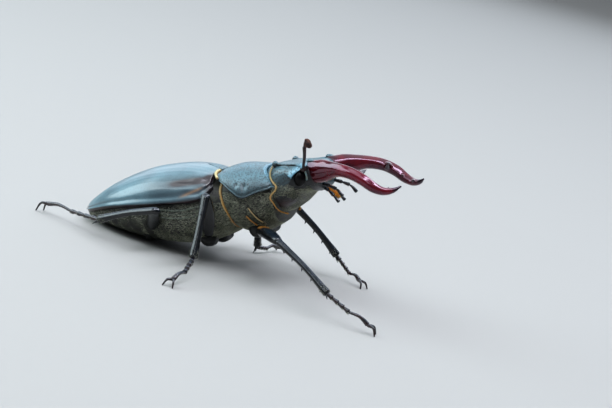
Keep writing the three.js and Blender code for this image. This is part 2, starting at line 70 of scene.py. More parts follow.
# Body stations: x, half width, top, height of the widest point, bottom, roundness above and below it.
ELYTRA = (
    (-21.8, 0.5, 0.7, 0.5, 0.0, 2, 2),
    (-21.2, 2.0, 1.15, 0.5, -0.3, 2, 2),
    (-19.6, 4.3, 2.25, 0.55, -0.4, 2, 2),
    (-15.5, 6.9, 4.05, 0.75, -0.4, 2.05, 2),
    (-10.0, 8.0, 5.3, 0.5, -0.6, 2.15, 2),
    (-4.5, 7.8, 5.3, 0.15, -0.85, 2.2, 2),
    (-1.2, 7.1, 4.6, 0.3, -0.65, 2.3, 2),
    (0.5, 6.0, 3.9, 1.6, 0.3, 2.3, 2),
)
ELYTRON_THICKNESS = 0.28
SEAM = 0.035
# Bead and groove of a wing case's side margin: height, and middle and width in degrees round the body.
MARGIN_BEAD = (0.14, 1.0, 4.5)
MARGIN_GROOVE = (-0.08, 9.0, 4.5)
# Bumps and dents of a wing case: height, middle and width along x, middle and width in degrees.
ELYTRON_BUMPS = (
    (0.2, (-1.4, 1.2), (38.0, 12.0)),
    (-0.14, (-0.3, 0.9), (60.0, 12.0)),
    (-0.16, (-3.4, 2.6), (27.0, 7.0)),
)
HINDBODY = (
    (-21.4, 0.9, 0.4, 0.1, -0.35, 2, 2),
    (-20.4, 2.8, 0.9, 0.0, -0.95, 2, 2),
    (-17.5, 5.3, 2.3, -0.3, -2.3, 2, 2.2),
    (-12.5, 7.2, 3.9, -0.6, -4.5, 2.1, 2.3),
    (-7.0, 7.6, 4.4, -0.9, -6.0, 2.2, 2.4),
    (-3.0, 7.1, 4.3, -1.2, -6.3, 2.3, 2.5),
    (0.9, 6.1, 3.2, -1.4, -5.5, 2.3, 2.4),
    (3.2, 4.6, 2.0, -1.3, -4.2, 2.2, 2.2),
)
ABDOMEN_FRONT = -12.2
BELLY_GAP = 0.001  # on each side of the cut between belly and breast, as a share of the hindbody's length
STERNITE = 1.85
# Seams of the flank: degrees up from the underside's middle, and how strongly each shows.
FLANK_SEAMS = ((90.0, 1.0), (86.0, 0.6), (81.3, 1.0))
# Seams over a front hip: x and turn in degrees of both ends.
COXAL_SEAMS = (((5.9, 194.0), (7.5, 224.0)), ((5.5, 207.0), (6.6, 227.0)))
SCUTELLUM = {"tip": -2.0, "base": 0.9, "half_width": 1.7}
# Rings of the small shield, from its rim to its middle: share of the outline, height over the wing cases.
SCUTELLUM_RINGS = (
    (1.0, -0.5),
    (1.0, -0.02),
    (0.97, 0.06),
    (0.9, 0.09),
    (0.7, 0.07),
    (0.4, 0.04),
    (0.15, 0.02),
)

# Upper plate of the prothorax: x at the midline, half width, top, edge height, forward draw of the edge.
PRONOTUM = (
    (0.0, 5.8, 3.5, 2.5, 1.2),
    (0.6, 6.3, 4.05, 2.0, 1.5),
    (1.8, 6.9, 4.6, 1.0, 1.9),
    (3.2, 7.1, 4.95, 0.45, 2.0),
    (5.0, 6.6, 5.02, 1.3, 2.2),
    (6.4, 6.1, 4.98, 1.8, 2.2),
    (7.2, 5.6, 4.8, 2.2, 2.2),
)
PRONOTUM_FLESH = 0.32
# Dents on each side of the shield: x, distance from the midline, size and depth.
SHIELD_DENTS = (
    (4.06, 6.55, 0.22, 0.14),
    (5.3, 6.66, 0.28, 0.16),
    (5.6, 5.5, 0.5, 0.1),
    (3.0, 3.2, 0.7, 0.06),
)
PROSTERNUM = (
    (1.3, 5.3, 3.2, 0.5, -3.4, 2.2, 2.2),
    (2.2, 5.9, 3.6, 0.5, -4.0, 2.2, 2.2),
    (4.4, 6.5, 4.1, 0.4, -4.8, 2.2, 2.2),
    (6.9, 6.2, 4.3, 0.7, -4.7, 2.2, 2.1),
    (8.9, 5.7, 3.6, 0.9, -3.6, 2.2, 2),
    (9.9, 5.1, 3.0, 0.9, -2.8, 2.2, 2),
)
HEAD = (
    (-2.6, 3.6, 2.0, -0.3, -2.6, 2, 2),
    (-1.4, 5.0, 2.9, -0.3, -3.5, 2.4, 2.1),
    (0.6, 5.9, 3.55, 0.2, -3.9, 3.4, 2.2),
    (2.6, 6.1, 3.75, 0.9, -2.75, 3.6, 2.2),
    (4.4, 5.9, 3.95, 1.4, -0.65, 3.6, 2.3),
    (5.8, 5.0, 3.6, 1.6, -0.4, 3.0, 2.3),
    (6.4, 3.6, 3.0, 1.7, 0.2, 2.4, 2.2),
)
CARINA = {"path": ((-0.3, 4.3, 3.1), (2.2, 4.9, 3.25), (4.4, 5.6, 3.6)), "radius": 0.4, "bump": 0.62}
CANTHUS = {
    "path": ((5.0, 5.7, 3.5), (4.1, 6.1, 2.85), (3.3, 6.1, 2.1), (2.8, 5.8, 1.3)),
    "size": (0.55, 0.32),
}
# Knobs on each side of the head: place and half sizes.
HEAD_KNOBS = (((4.95, 4.2, 4.05), (0.65, 0.5, 0.32)), ((4.55, 5.55, 3.2), (0.5, 0.5, 0.45)))
HEAD_GROOVE = ((-0.2, 3.0), (0.7, 2.85), (2.1, 3.0), (3.3, 3.35))  # (x, z) under the ridge
EYE = {"centre": (3.9, 5.5, 1.6), "size": (1.0, 0.95, 1.25)}
JAW_JOINT = ((4.5, 5.85, 3.05), (4.85, 5.7, 2.3), (4.95, 5.45, 1.4))  # the bare skin before the eye
LABRUM = {"from": 5.9, "to": 7.7, "half_width": 1.9, "top": 3.0, "bottom": 1.9}

# Mandible: x, distance from the midline, height, half width across, half height.
MANDIBLE = (
    (4.6, 3.9, 2.5, 1.15, 1.65),
    (6.0, 4.3, 2.65, 1.2, 1.6),
    (7.6, 5.1, 2.95, 1.15, 1.45),
    (9.6, 6.3, 3.35, 0.96, 0.93),
    (12.0, 7.3, 3.15, 0.86, 0.8),
    (13.9, 7.65, 2.45, 0.82, 0.76),
    (15.5, 7.55, 1.55, 0.78, 0.7),
    (16.9, 7.1, 1.15, 0.64, 0.56),
    (18.0, 6.4, 1.35, 0.42, 0.38),
    (18.9, 5.5, 1.95, 0.13, 0.13),
)
MANDIBLE_TEETH = (
    {"root": (12.9, 7.0, 3.1), "tip": (13.6, 5.1, 3.75), "radius": 0.66},
    {"root": (17.0, 6.8, 1.2), "tip": (17.2, 5.6, 1.7), "radius": 0.42},
    {"root": (15.2, 7.1, 1.9), "tip": (15.3, 6.35, 2.1), "radius": 0.28},
)

# Antennae, in the head's axes: base, elbow and club end.
ANTENNAE = {
    "right": ((4.45, -6.0, 3.0), (5.5, -9.0, 6.5), (6.9, -12.6, 7.9)),
    "left": ((4.45, 6.0, 3.0), (2.0, 9.6, 1.6), (2.8, 13.6, 2.2)),
}
ANTENNA = {
    "stalk": (0.19, 0.28),
    "beads": 6,
    "stem": 0.24,
    "leaves": 4,
    "leaf": 1.0,
    "leaf_way": (0.78, 0.0, -0.62),
}
PALPS = {
    "maxillary": (((5.6, 2.4, 1.0), (7.6, 2.9, 0.62), (8.8, 3.1, 0.2), (9.7, 3.2, -0.65)), 0.28),
    "labial": (((5.4, 1.0, 0.4), (6.9, 1.1, -0.3), (7.9, 1.3, -1.1), (8.6, 1.4, -1.75)), 0.26),
}
PALP_JOINTS = (0.0, 0.3, 0.6, 1.0)  # shares of a palp's length
MOUTH_BRUSH = {"from": (5.5, 0.0, 0.7), "to": (8.1, 0.0, -1.1), "half_width": 0.8, "thick": 0.5}

# Legs: hip, knee, ankle, end of the fourth joint of the foot, and the wrist where the claws start.
LEGS = {
    "right_front": (
        (8.0, -2.6, 6.7),
        (13.7, -10.0, 7.7),
        (23.5, -13.0, 3.6),
        (27.2, -13.3, 2.25),
        (30.2, -12.7, 1.2),
    ),
    "right_middle": (
        (1.3, -3.3, 3.3),
        (2.4, -12.2, 11.0),
        (4.3, -16.2, 2.9),
        (4.9, -19.9, 1.6),
        (4.7, -23.2, 0.95),
    ),
    "right_hind": (
        (-7.5, -3.4, 1.3),
        (-4.4, -12.0, 6.7),
        (-12.9, -11.1, 2.6),
        (-18.0, -9.1, 2.0),
        (-22.6, -7.4, 1.5),
    ),
    "left_front": (
        (8.0, 2.6, 6.7),
        (8.3, 10.0, 9.3),
        (15.9, 13.3, 3.3),
        (18.4, 13.6, 1.3),
        (20.3, 12.8, 0.95),
    ),
    "left_middle": (
        (1.3, 3.3, 3.3),
        (2.4, 10.4, 9.9),
        (3.9, 11.9, 1.0),
        (4.6, 14.2, 0.75),
        (5.3, 16.9, 0.8),
    ),
    "left_hind": (
        (-7.5, 3.4, 1.3),
        (-5.2, 11.4, 6.9),
        (-10.6, 15.2, 2.5),
        (-14.2, 17.2, 1.2),
        (-17.6, 18.4, 1.1),
    ),
}
# Hips: distance from the midline of both ends, rise of the outer end, half sizes.
COXA = {
    "front": (0.7, 4.3, 0.6, (1.15, 1.1)),
    "middle": (1.0, 4.2, 0.7, (1.2, 1.05)),
    "hind": (0.6, 5.4, 1.0, (1.15, 0.9)),
}
FEMUR = {"middle": (1.12, 0.8), "ends": (0.68, 0.55)}
TIBIA = {"knee": 0.6, "middle": 0.5, "ankle": 0.66, "bow": 0.3}
THORNS = {"front": (4, 0.32, 0.26), "middle": (2, 0.32, 0.25), "hind": (1, 0.32, 0.25)}
SPUR = {"length": 1.25, "radius": 0.24}
TARSUS = {"joints": 4, "thin": 0.22, "wide": 0.42, "last": (0.22, 0.4), "arch": 0.35}
CLAW = {"length": 1.5, "spread": 32.0, "radii": (0.24, 0.1)}

# Down on the body: how many hairs, and the degrees round the body that they cover.
DOWN = {
    "middle_body": (16500, (174, 366)),
    "belly": (8000, (165, 375)),
    "forebody": (14500, (172, 368)),
    "head": (13000, (160, 380)),
}
# Hair on a leg: how many hairs, the degrees round the limb that they cover, and how pale they are.
LIMB_HAIR = {
    "thigh": (1300, (45, 140), 0.0),
    "shin": (120, (0, 360), 0.3),
    "sole": (60, (200, 340), 0.3),
}
# Fringes: how many hairs, their way and how far it turns outward in y and z, the scatter of their way, the
# half width of their row in millimetres, their place on the unwrap, and how pale they are at both ends.
FRINGES = {
    "shield": (3600, (-1, 0, 0.9), (0, 0), 0.14, 0.04, 0.2, (0.9, 0.9)),
    "waist": (3600, (-1, 0, 0), (0.1, 0.06), 0.12, 0.035, 0.6, (0.75, 0.15)),
    "neck": (3600, (1, 0, 0), (0.1, 0.1), 0.16, 0.035, 0.5, (1.0, 0.0)),
    "outer_hip_seam": (700, (1, 0, -0.6), (0.1, 0.1), 0.2, 0.03, 0.8, (0.85, 0.85)),
    "inner_hip_seam": (700, (1, 0, -0.6), (0.1, 0.1), 0.2, 0.03, 0.8, (0.1, 0.1)),
}
BRUSH_HAIRS = 1000  # in each of the mouth's two brushes
# How far a hair stands off the skin at its middle, as a share of its length.
LIFT = {"down": 0.12, "fringe": 0.1, "brush": 0.05, "limb": 0.15}

# Fusing of overlapping solids: voxel size in millimetres and rounds of smoothing.
HEAD_FUSE = (0.075, 4)
JAW_FUSE = (0.08, 4)

# ---------------------------------------------------------------- number tools

FINE_STEPS = np.linspace(0.0, 1.0, 2001)  # shares of a body's length at which its places are looked up


def mix(a, b, t):
    """The value at share t of the way from a to b."""
    return a + (b - a) * t


def smooth(low, high, x):
    """0 below low and 1 above high, with a soft step between. Low may be the larger."""
    t = np.clip((x - low) / (high - low), 0.0, 1.0)
    return t * t * (3.0 - 2.0 * t)


def hump(x, middle, width):
    """A soft bump of height 1."""
    return np.exp(-(((x - middle) / width) ** 2))


def unit(vectors):
    """The vectors' directions, each of length 1."""
    length = np.linalg.norm(vectors, axis=-1, keepdims=True)
    return vectors / np.maximum(length, 1e-12)


def cubic(a, b, start, end, s):
    """The smooth way from a to b that leaves and arrives with the slopes given, at each share s of it."""
    return a + s * (start + s * (3 * (b - a) - 2 * start - end + s * (2 * (a - b) + start + end)))


def along(stations, t):
    """The values of a smooth curve through the stations, one row for each t from 0 to 1."""
    table = np.asarray(stations, float)
    last = len(table) - 1
    at = np.clip(np.atleast_1d(t), 0.0, 1.0) * last
    i = np.minimum(at.astype(int), last - 1)
    s = (at - i)[:, None]
    before, a, b, after = (table[np.clip(i + k, 0, last)] for k in (-1, 0, 1, 2))
    return cubic(a, b, (b - before) / 2, (after - a) / 2, s)


def share_at(stations, x):
    """The t at which the stations' first value reaches x."""
    return float(np.interp(x, along(stations, FINE_STEPS)[:, 0], FINE_STEPS))


def on_path(points, t):
    """Points of the centripetal curve through a few points, at each t from 0 to 1."""
    knots = np.asarray(points, float)
    padded = np.vstack((2 * knots[0] - knots[1], knots, 2 * knots[-1] - knots[-2]))
    at = np.atleast_1d(t) * (len(knots) - 1)
    i = np.clip(at.astype(int), 0, len(knots) - 2)
    s = (at - i)[:, None]
    p, a, b, n = (padded[i + k] for k in range(4))
    pairs = ((p, a), (a, b), (b, n))
    d0, d1, d2 = (np.sqrt(np.linalg.norm(v - u, axis=1))[:, None] for u, v in pairs)
    start = ((a - p) / d0 - (b - p) / (d0 + d1) + (b - a) / d1) * d1
    end = ((b - a) / d1 - (n - a) / (d1 + d2) + (n - b) / d2) * d1
    return cubic(a, b, start, end, s)


def ahead_on(path, t):
    """Unit directions of a path at each t."""
    return unit(on_path(path, np.minimum(t + 0.01, 1)) - on_path(path, np.maximum(t - 0.01, 0)))


def between(a, b, t, rise=0.0):
    """The point at share t of the way from a to b, and lifted by rise."""
    point = mix(np.asarray(a, float), np.asarray(b, float), t)
    point[2] += rise
    return point


def mirrored(point, side):
    """A point of the left side on the side given, which is 1 for the left and -1 for the right."""
    return np.array((point[0], side * point[1], point[2]))


def turn_matrix(part):
    """The turn from a part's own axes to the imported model's."""
    pitch = math.radians(PARTS[part][1])
    c, s = math.cos(pitch), math.sin(pitch)
    return np.array(((c, 0.0, -s), (0.0, 1.0, 0.0), (s, 0.0, c)))


def to_row(part, points):
    """Points in a part's own axes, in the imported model's frame, still in millimetres."""
    return np.asarray(points, float) @ turn_matrix(part).T + np.array(PARTS[part][0]) + TO_ROW


def to_part(part, points):
    """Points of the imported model's frame, in a part's own axes."""
    return (np.asarray(points, float) - TO_ROW - np.array(PARTS[part][0])) @ turn_matrix(part)


# ---------------------------------------------------------------- shape tools


def strips(rows, sides):
    """The quads between rings of points, ring by ring."""
    j = np.arange(sides)
    k = (j + 1) % sides
    i = np.arange(rows - 1)[:, None] * sides
    quads = np.stack((i + j, i + k, i + sides + k, i + sides + j), axis=-1)
    return [tuple(q) for q in quads.reshape(-1, 4).tolist()]


def skin(rings):
    """A closed body through rings of points, each end closed on its middle."""
    rows, sides = rings.shape[:2]
    points = np.vstack((rings.reshape(-1, 3), rings[:1].mean(axis=1), rings[-1:].mean(axis=1)))
    faces = strips(rows, sides)
    first, last, end = rows * sides, rows * sides + 1, (rows - 1) * sides
    for j in range(sides):
        k = (j + 1) % sides
        faces.append((first, k, j))
        faces.append((last, end + j, end + k))
    return points, faces


def shell(outer, inner):
    """A closed sheet between an outer and an inner grid of the same size."""
    rows, count = outer.shape[:2]
    ring = np.concatenate((outer, inner[:, ::-1]), axis=1)
    sides = 2 * count
    faces = strips(rows, sides)
    for base in (0, (rows - 1) * sides):
        for k in range(count - 1):
            faces.append((base + k, base + k + 1, base + sides - 2 - k, base + sides - 1 - k))
    return ring.reshape(-1, 3), faces


def joined(forms):
    """Several forms as one."""
    points, faces, start = [], [], 0
    for form_points, form_faces in forms:
        points.append(form_points)
        faces += [tuple(index + start for index in face) for face in form_faces]
        start += len(form_points)
    return np.vstack(points), faces


def normals_of(rings):
    """Unit normals of rings of points, facing away from the middle of their ring."""
    lengthwise = np.gradient(rings, axis=0)
    around = np.roll(rings, -1, axis=1) - np.roll(rings, 1, axis=1)
    normal = unit(np.cross(lengthwise, around))
    away = rings - rings.mean(axis=1, keepdims=True)
    facing = np.sign(np.sum(normal * away, axis=-1, keepdims=True).sum(axis=(0, 1), keepdims=True))
    return normal * facing


def section(stations, t, turn):
    """Points on a body's skin at matching arrays of t and turn: turn 0 is its left, a quarter its top."""
    shape = np.broadcast(t, turn).shape
    t, turn = (np.broadcast_to(v, shape).ravel() for v in (t, turn))
    x, w, top, middle, low, above, below = along(stations, t).T
    c, s = np.cos(turn), np.sin(turn)
    power = 2.0 / np.where(s >= 0, above, below)
    height = np.where(s >= 0, top - middle, middle - low)
    y = w * np.sign(c) * np.abs(c) ** power
    z = middle + height * np.sign(s) * np.abs(s) ** power
    return np.stack((x, y, z), axis=-1).reshape(*shape, 3)


def body(stations, rows, sides, relief=None, span=(0.0, 1.0)):
    """A closed body through the stations. Relief gives how far its skin stands out, from x and turn."""
    t = np.linspace(*span, rows)[:, None]
    turn = np.linspace(0.0, 2 * math.pi, sides, endpoint=False)[None, :]
    rings = section(stations, t, turn)
    if relief is not None:
        rings = rings + normals_of(rings) * relief(rings, turn + 0 * t)[..., None]
    return skin(rings)


def oval_rings(centres, radii, sides, up):
    """Oval rings square to the line through their centres."""
    ahead = unit(np.gradient(centres, axis=0))
    across = unit(np.cross(np.broadcast_to(np.asarray(up, float), ahead.shape), ahead))
    over = np.cross(ahead, across)
    turn = np.linspace(0.0, 2 * math.pi, sides, endpoint=False)
    wide = across[:, None] * (radii[:, :1] * np.cos(turn))[..., None]
    high = over[:, None] * (radii[:, 1:] * np.sin(turn))[..., None]
    return centres[:, None] + wide + high


TUBE_TIP = 0.02  # share of its radius that a tube's last ring keeps


def tube(path, radius_at, sides=24, steps=30, up=(0, 0, 1), ends=(0.5, 0.5), relief=None):
    """A body along a path. radius_at gives half width and half height at each t, and ends say over how
    many of its own radii each end is rounded."""
    t = 0.5 - 0.5 * np.cos(np.linspace(0.0, math.pi, steps + 1))
    centres = on_path(path, t)
    radii = np.stack([np.broadcast_to(r, t.shape) for r in radius_at(t)], axis=-1).astype(float)
    length = np.linalg.norm(np.diff(on_path(path, np.linspace(0, 1, 40)), axis=0), axis=1).sum()
    for amount, distance, at in ((ends[0], t * length, 0), (ends[1], (1 - t) * length, -1)):
        reach = max(amount * float(radii[at].mean()), 1e-6)
        inside = np.clip(1.0 - distance / reach, 0.0, 1.0)
        radii *= np.sqrt(np.maximum(1.0 - inside**2, TUBE_TIP**2))[:, None]
    rings = oval_rings(centres, radii, sides, up)
    if relief is not None:
        turn = np.linspace(0.0, 2 * math.pi, sides, endpoint=False)[None, :]
        rings = rings + unit(rings - centres[:, None]) * relief(t[:, None], turn)[..., None]
    return skin(rings)


def ball(centre, size, sides=32):
    turn = np.linspace(0.0, 2 * math.pi, sides, endpoint=False)[None, :]
    lift = np.linspace(-0.5, 0.5, sides // 2 + 1)[1:-1, None] * math.pi
    x = np.cos(lift) * np.cos(turn)
    y = np.cos(lift) * np.sin(turn)
    rings = np.stack((x, y, np.sin(lift) + 0 * turn), axis=-1) * np.asarray(size) + np.asarray(centre)
    points, faces = skin(rings)
    points[-2] = np.asarray(centre) - (0, 0, size[2])
    points[-1] = np.asarray(centre) + (0, 0, size[2])
    return points, faces


def thorn(root, tip, radius, sides=14, steps=12, bend=(0, 0, 0)):
    """A pointed spike that flares where it grows out."""
    middle = between(root, tip, 0.5) + np.asarray(bend, float)

    def radius_at(t):
        r = radius * ((1 - t) ** 0.9 * 0.9 + 0.35 * np.exp(-t * 7)) + 0.02
        return r, r

    return tube((root, middle, tip), radius_at, sides, steps, up=(0.3, 0.2, 1), ends=(0.3, 1.0))


# ---------------------------------------------------------------- pieces


def new_object(name, points, faces):
    mesh = bpy.data.meshes.new(name)
    mesh.from_pydata((points * MM).tolist(), [], faces)
    obj = bpy.data.objects.new(name, mesh)
    bpy.context.scene.collection.objects.link(obj)
    return obj


def face_outward(mesh):
    work = bmesh.new()
    work.from_mesh(mesh)
    bmesh.ops.recalc_face_normals(work, faces=work.faces)
    work.to_mesh(mesh)
    work.free()


def fused(obj, voxel, smoothing):
    """Turns overlapping closed bodies into one skin with soft joints."""
    remesh = obj.modifiers.new("fuse", "REMESH")
    remesh.mode = "VOXEL"
    remesh.voxel_size = voxel * MM
    soften = obj.modifiers.new("soften", "SMOOTH")
    soften.factor = 0.5
    soften.iterations = smoothing
    graph = bpy.context.evaluated_depsgraph_get()
    mesh = bpy.data.meshes.new_from_object(obj.evaluated_get(graph))
    obj.modifiers.clear()
    old, obj.data = obj.data, mesh
    bpy.data.meshes.remove(old)
    obj.data.name = obj.name


def points_of(mesh):
    found = np.empty(len(mesh.vertices) * 3, np.float32)
    mesh.vertices.foreach_get("co", found)
    return found.reshape(-1, 3).astype(float) / MM


def set_mark(mesh, name, values):
    mark = mesh.attributes.new(name, "FLOAT", "POINT")
    mark.data.foreach_set("value", np.asarray(values, np.float32))


SHARP_ANGLE = math.radians(45.0)  # edges that turn further than this stay crisp


def show(name, part, form, look, nodes=(), fuse=None, shape=None, marks=None):
    """Makes a piece from a form in its part's own axes and stands it for the CAD nodes named.

    Fuse is (voxel size, rounds of smoothing). Shape moves the piece's points, and marks give each of them
    a value for its material, both in the part's own axes.
    """
    points, faces = form
    obj = new_object(name, to_row(part, points), faces)
    face_outward(obj.data)
    if fuse:
        fused(obj, *fuse)
    if shape:
        moved = shape(to_part(part, points_of(obj.data)))
        obj.data.vertices.foreach_set("co", (to_row(part, moved) * MM).astype(np.float32).ravel())
    local = to_part(part, points_of(obj.data))
    for mark, values in (marks or {}).items():
        set_mark(obj.data, mark, values(local))
    obj.data.shade_smooth()
    obj.data.set_sharp_from_angle(angle=SHARP_ANGLE)
    obj.data.materials.append(look)
    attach(obj, "root")
    if nodes:
        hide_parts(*nodes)


# ---------------------------------------------------------------- hair

# A hair is a three-sided blade: a ring at its root, a ring half way and a point. Faces by corner number.
HAIR_FACES = ((0, 1, 4, 3), (1, 2, 5, 4), (2, 0, 3, 5), (3, 4, 6), (4, 5, 6), (5, 3, 6), (2, 1, 0))
HAIR_TIPS = (0.0, 0.0, 0.0, 0.5, 0.5, 0.5, 1.0)  # how far out each corner lies
HAIR_CORNERS = len(HAIR_TIPS)
UNWRAP = (0.02, 0.98)  # the part of the unwrap that the hairs' patches are spread over
PATCH = 0.0015  # half the side of a hair's patch on the unwrap
PATCH_CORNERS = ((-1, -1), (1, -1), (0, -0.6), (-1, 0.4), (1, 0.4), (0, 0.2), (0, 1))


def hair_points(roots, ways, normals, lengths, widths, lift):
    """Seven points for each hair. Lift is how far the hair stands off the skin at its middle."""
    ways, normals = unit(ways), unit(normals)
    across = unit(np.cross(normals, ways))
    lengths, widths = (np.broadcast_to(v, (len(roots),))[:, None] for v in (lengths, widths))
    foot = roots - normals * widths * 0.6
    half = roots + ways * lengths * 0.5 + normals * lift * lengths
    tip = roots + ways * lengths + normals * lift * lengths * 0.9
    rings = [
        centre + offset
        for centre, size in ((foot, widths), (half, widths * 0.8))
        for offset in (-across * size / 2, across * size / 2, normals * size * 0.6)
    ]
    return np.stack((*rings, tip), axis=1)


def coat(name, part, tufts, look, nodes=()):
    """A piece of many hairs. Each of tufts is (hair points, places on the skin's unwrap, tints)."""
    blades, places, tints = (np.concatenate([tuft[k] for tuft in tufts]) for k in range(3))
    count = len(blades)
    points = to_row(part, blades.reshape(-1, 3))
    faces = [tuple(c + HAIR_CORNERS * i for c in face) for i in range(count) for face in HAIR_FACES]
    obj = new_object(name, points, faces)
    corners = np.array([c for face in HAIR_FACES for c in face])
    per_hair = places[:, None, :] + np.asarray(PATCH_CORNERS)[None, corners] * PATCH
    layer = obj.data.uv_layers.new(name="OFBake")
    layer.uv.foreach_set("vector", np.clip(per_hair, 0.0, 1.0).astype(np.float32).ravel())
    set_mark(obj.data, "tint", np.repeat(tints, HAIR_CORNERS))
    set_mark(obj.data, "tip", np.tile(HAIR_TIPS, count))
    obj.data.shade_smooth()
    obj.data.materials.append(look)
    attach(obj, "root")
    if nodes:
        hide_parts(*nodes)


def down(rng, stations, kind, length, width, t_span, backward=1.0, keep=None):
    """Short hair lying on a body's skin, its tips towards the tail, or forward where backward is -1. Keep
    gives the share of the hairs that grow at each point."""
    count, turn_span = DOWN[kind]
    t = rng.uniform(*t_span, count)
    turn = np.radians(rng.uniform(*turn_span, count))
    roots = section(stations, t, turn)
    if keep is not None:
        kept = keep(roots) > rng.random(count)
        t, turn, roots = t[kept], turn[kept], roots[kept]
    step = 1e-3
    lengthwise = section(stations, t + step, turn) - section(stations, t - step, turn)
    around = section(stations, t, turn + step) - section(stations, t, turn - step)
    normals = unit(np.cross(around, lengthwise))
    middle = along(stations, t)
    away = roots - np.stack((middle[:, 0], 0 * t, middle[:, 3]), axis=-1)
    normals *= np.sign(np.sum(normals * away, axis=1, keepdims=True))
    ways = -unit(lengthwise) * backward + unit(around) * rng.normal(0, 0.35, len(t))[:, None]
    lengths = length * rng.uniform(0.6, 1.2, len(t))
    blades = hair_points(roots, ways, normals, lengths, width, LIFT["down"])
    places = np.stack((mix(*UNWRAP, (turn / (2 * math.pi)) % 1.0), mix(*UNWRAP, t)), axis=-1)
    # Broad clouds of paler and darker down.
    x, _, z = roots.T
    patches = 0.5 + 0.35 * np.sin(2.1 * x + 1.3 * z) * np.sin(1.9 * z - 1.1 * x + 0.6)
    return blades, places, np.clip(patches + rng.normal(0, 0.2, len(t)), 0.0, 1.0)


def fringe(rng, path, kind, length, width):
    """A close row of hairs along a path."""
    count, way, outward, spread, band, row, pale = FRINGES[kind]
    t = rng.random(count)
    roots = on_path(path, t) + rng.normal(0, band, (count, 3))
    ways = unit(on_path(path, t) * (0, *outward) + way) + rng.normal(0, spread, (count, 3))
    normals = np.cross(ahead_on(path, t), ways)
    lengths = length * rng.uniform(0.7, 1.15, count)
    blades = hair_points(roots, ways, normals, lengths, width, LIFT["fringe"])
    places = np.stack((mix(*UNWRAP, t), np.full(count, row)), axis=-1)
    return blades, places, np.clip(mix(*pale, t) + rng.normal(0, 0.12, count), 0.0, 1.0)


# ---------------------------------------------------------------- colours and finishes


def linear(code):
    """The linear colour of an sRGB hex value."""
    values = [int(code[i : i + 2], 16) / 255 for i in (1, 3, 5)]
    return (*(v / 12.92 if v <= 0.04045 else ((v + 0.055) / 1.055) ** 2.4 for v in values), 1.0)


def per(size):
    """The scale of a pattern whose features are this many millimetres apart."""
    return 1000.0 / size


def add_node(tree, kind, settings=None, values=None, links=None):
    """Adds a node, sets its properties and its sockets' values, and links its inputs. A socket is given by
    its name, or by its number where names repeat."""
    node = tree.nodes.new(kind)
    for name, value in (settings or {}).items():
        setattr(node, name, value)
    for socket, value in (values or {}).items():
        node.inputs[socket].default_value = value
    for socket, source in (links or {}).items():
        tree.links.new(source, node.inputs[socket])
    return node


def new_finish(name):
    material = bpy.data.materials.new(name)
    material.use_nodes = True
    material.node_tree.nodes.clear()
    return material, material.node_tree


COLOUR_MIX = {"data_type": "RGBA"}
# The Mix node's sockets for colours, by number, as their names repeat those of its sockets for numbers.
SHARE, UNDER, OVER, MIXED = 0, 6, 7, 2
SOFT_RANGE = {"interpolation_type": "SMOOTHSTEP"}
CHITIN_IOR = 1.56


WHITE = (1.0, 1.0, 1.0, 1.0)


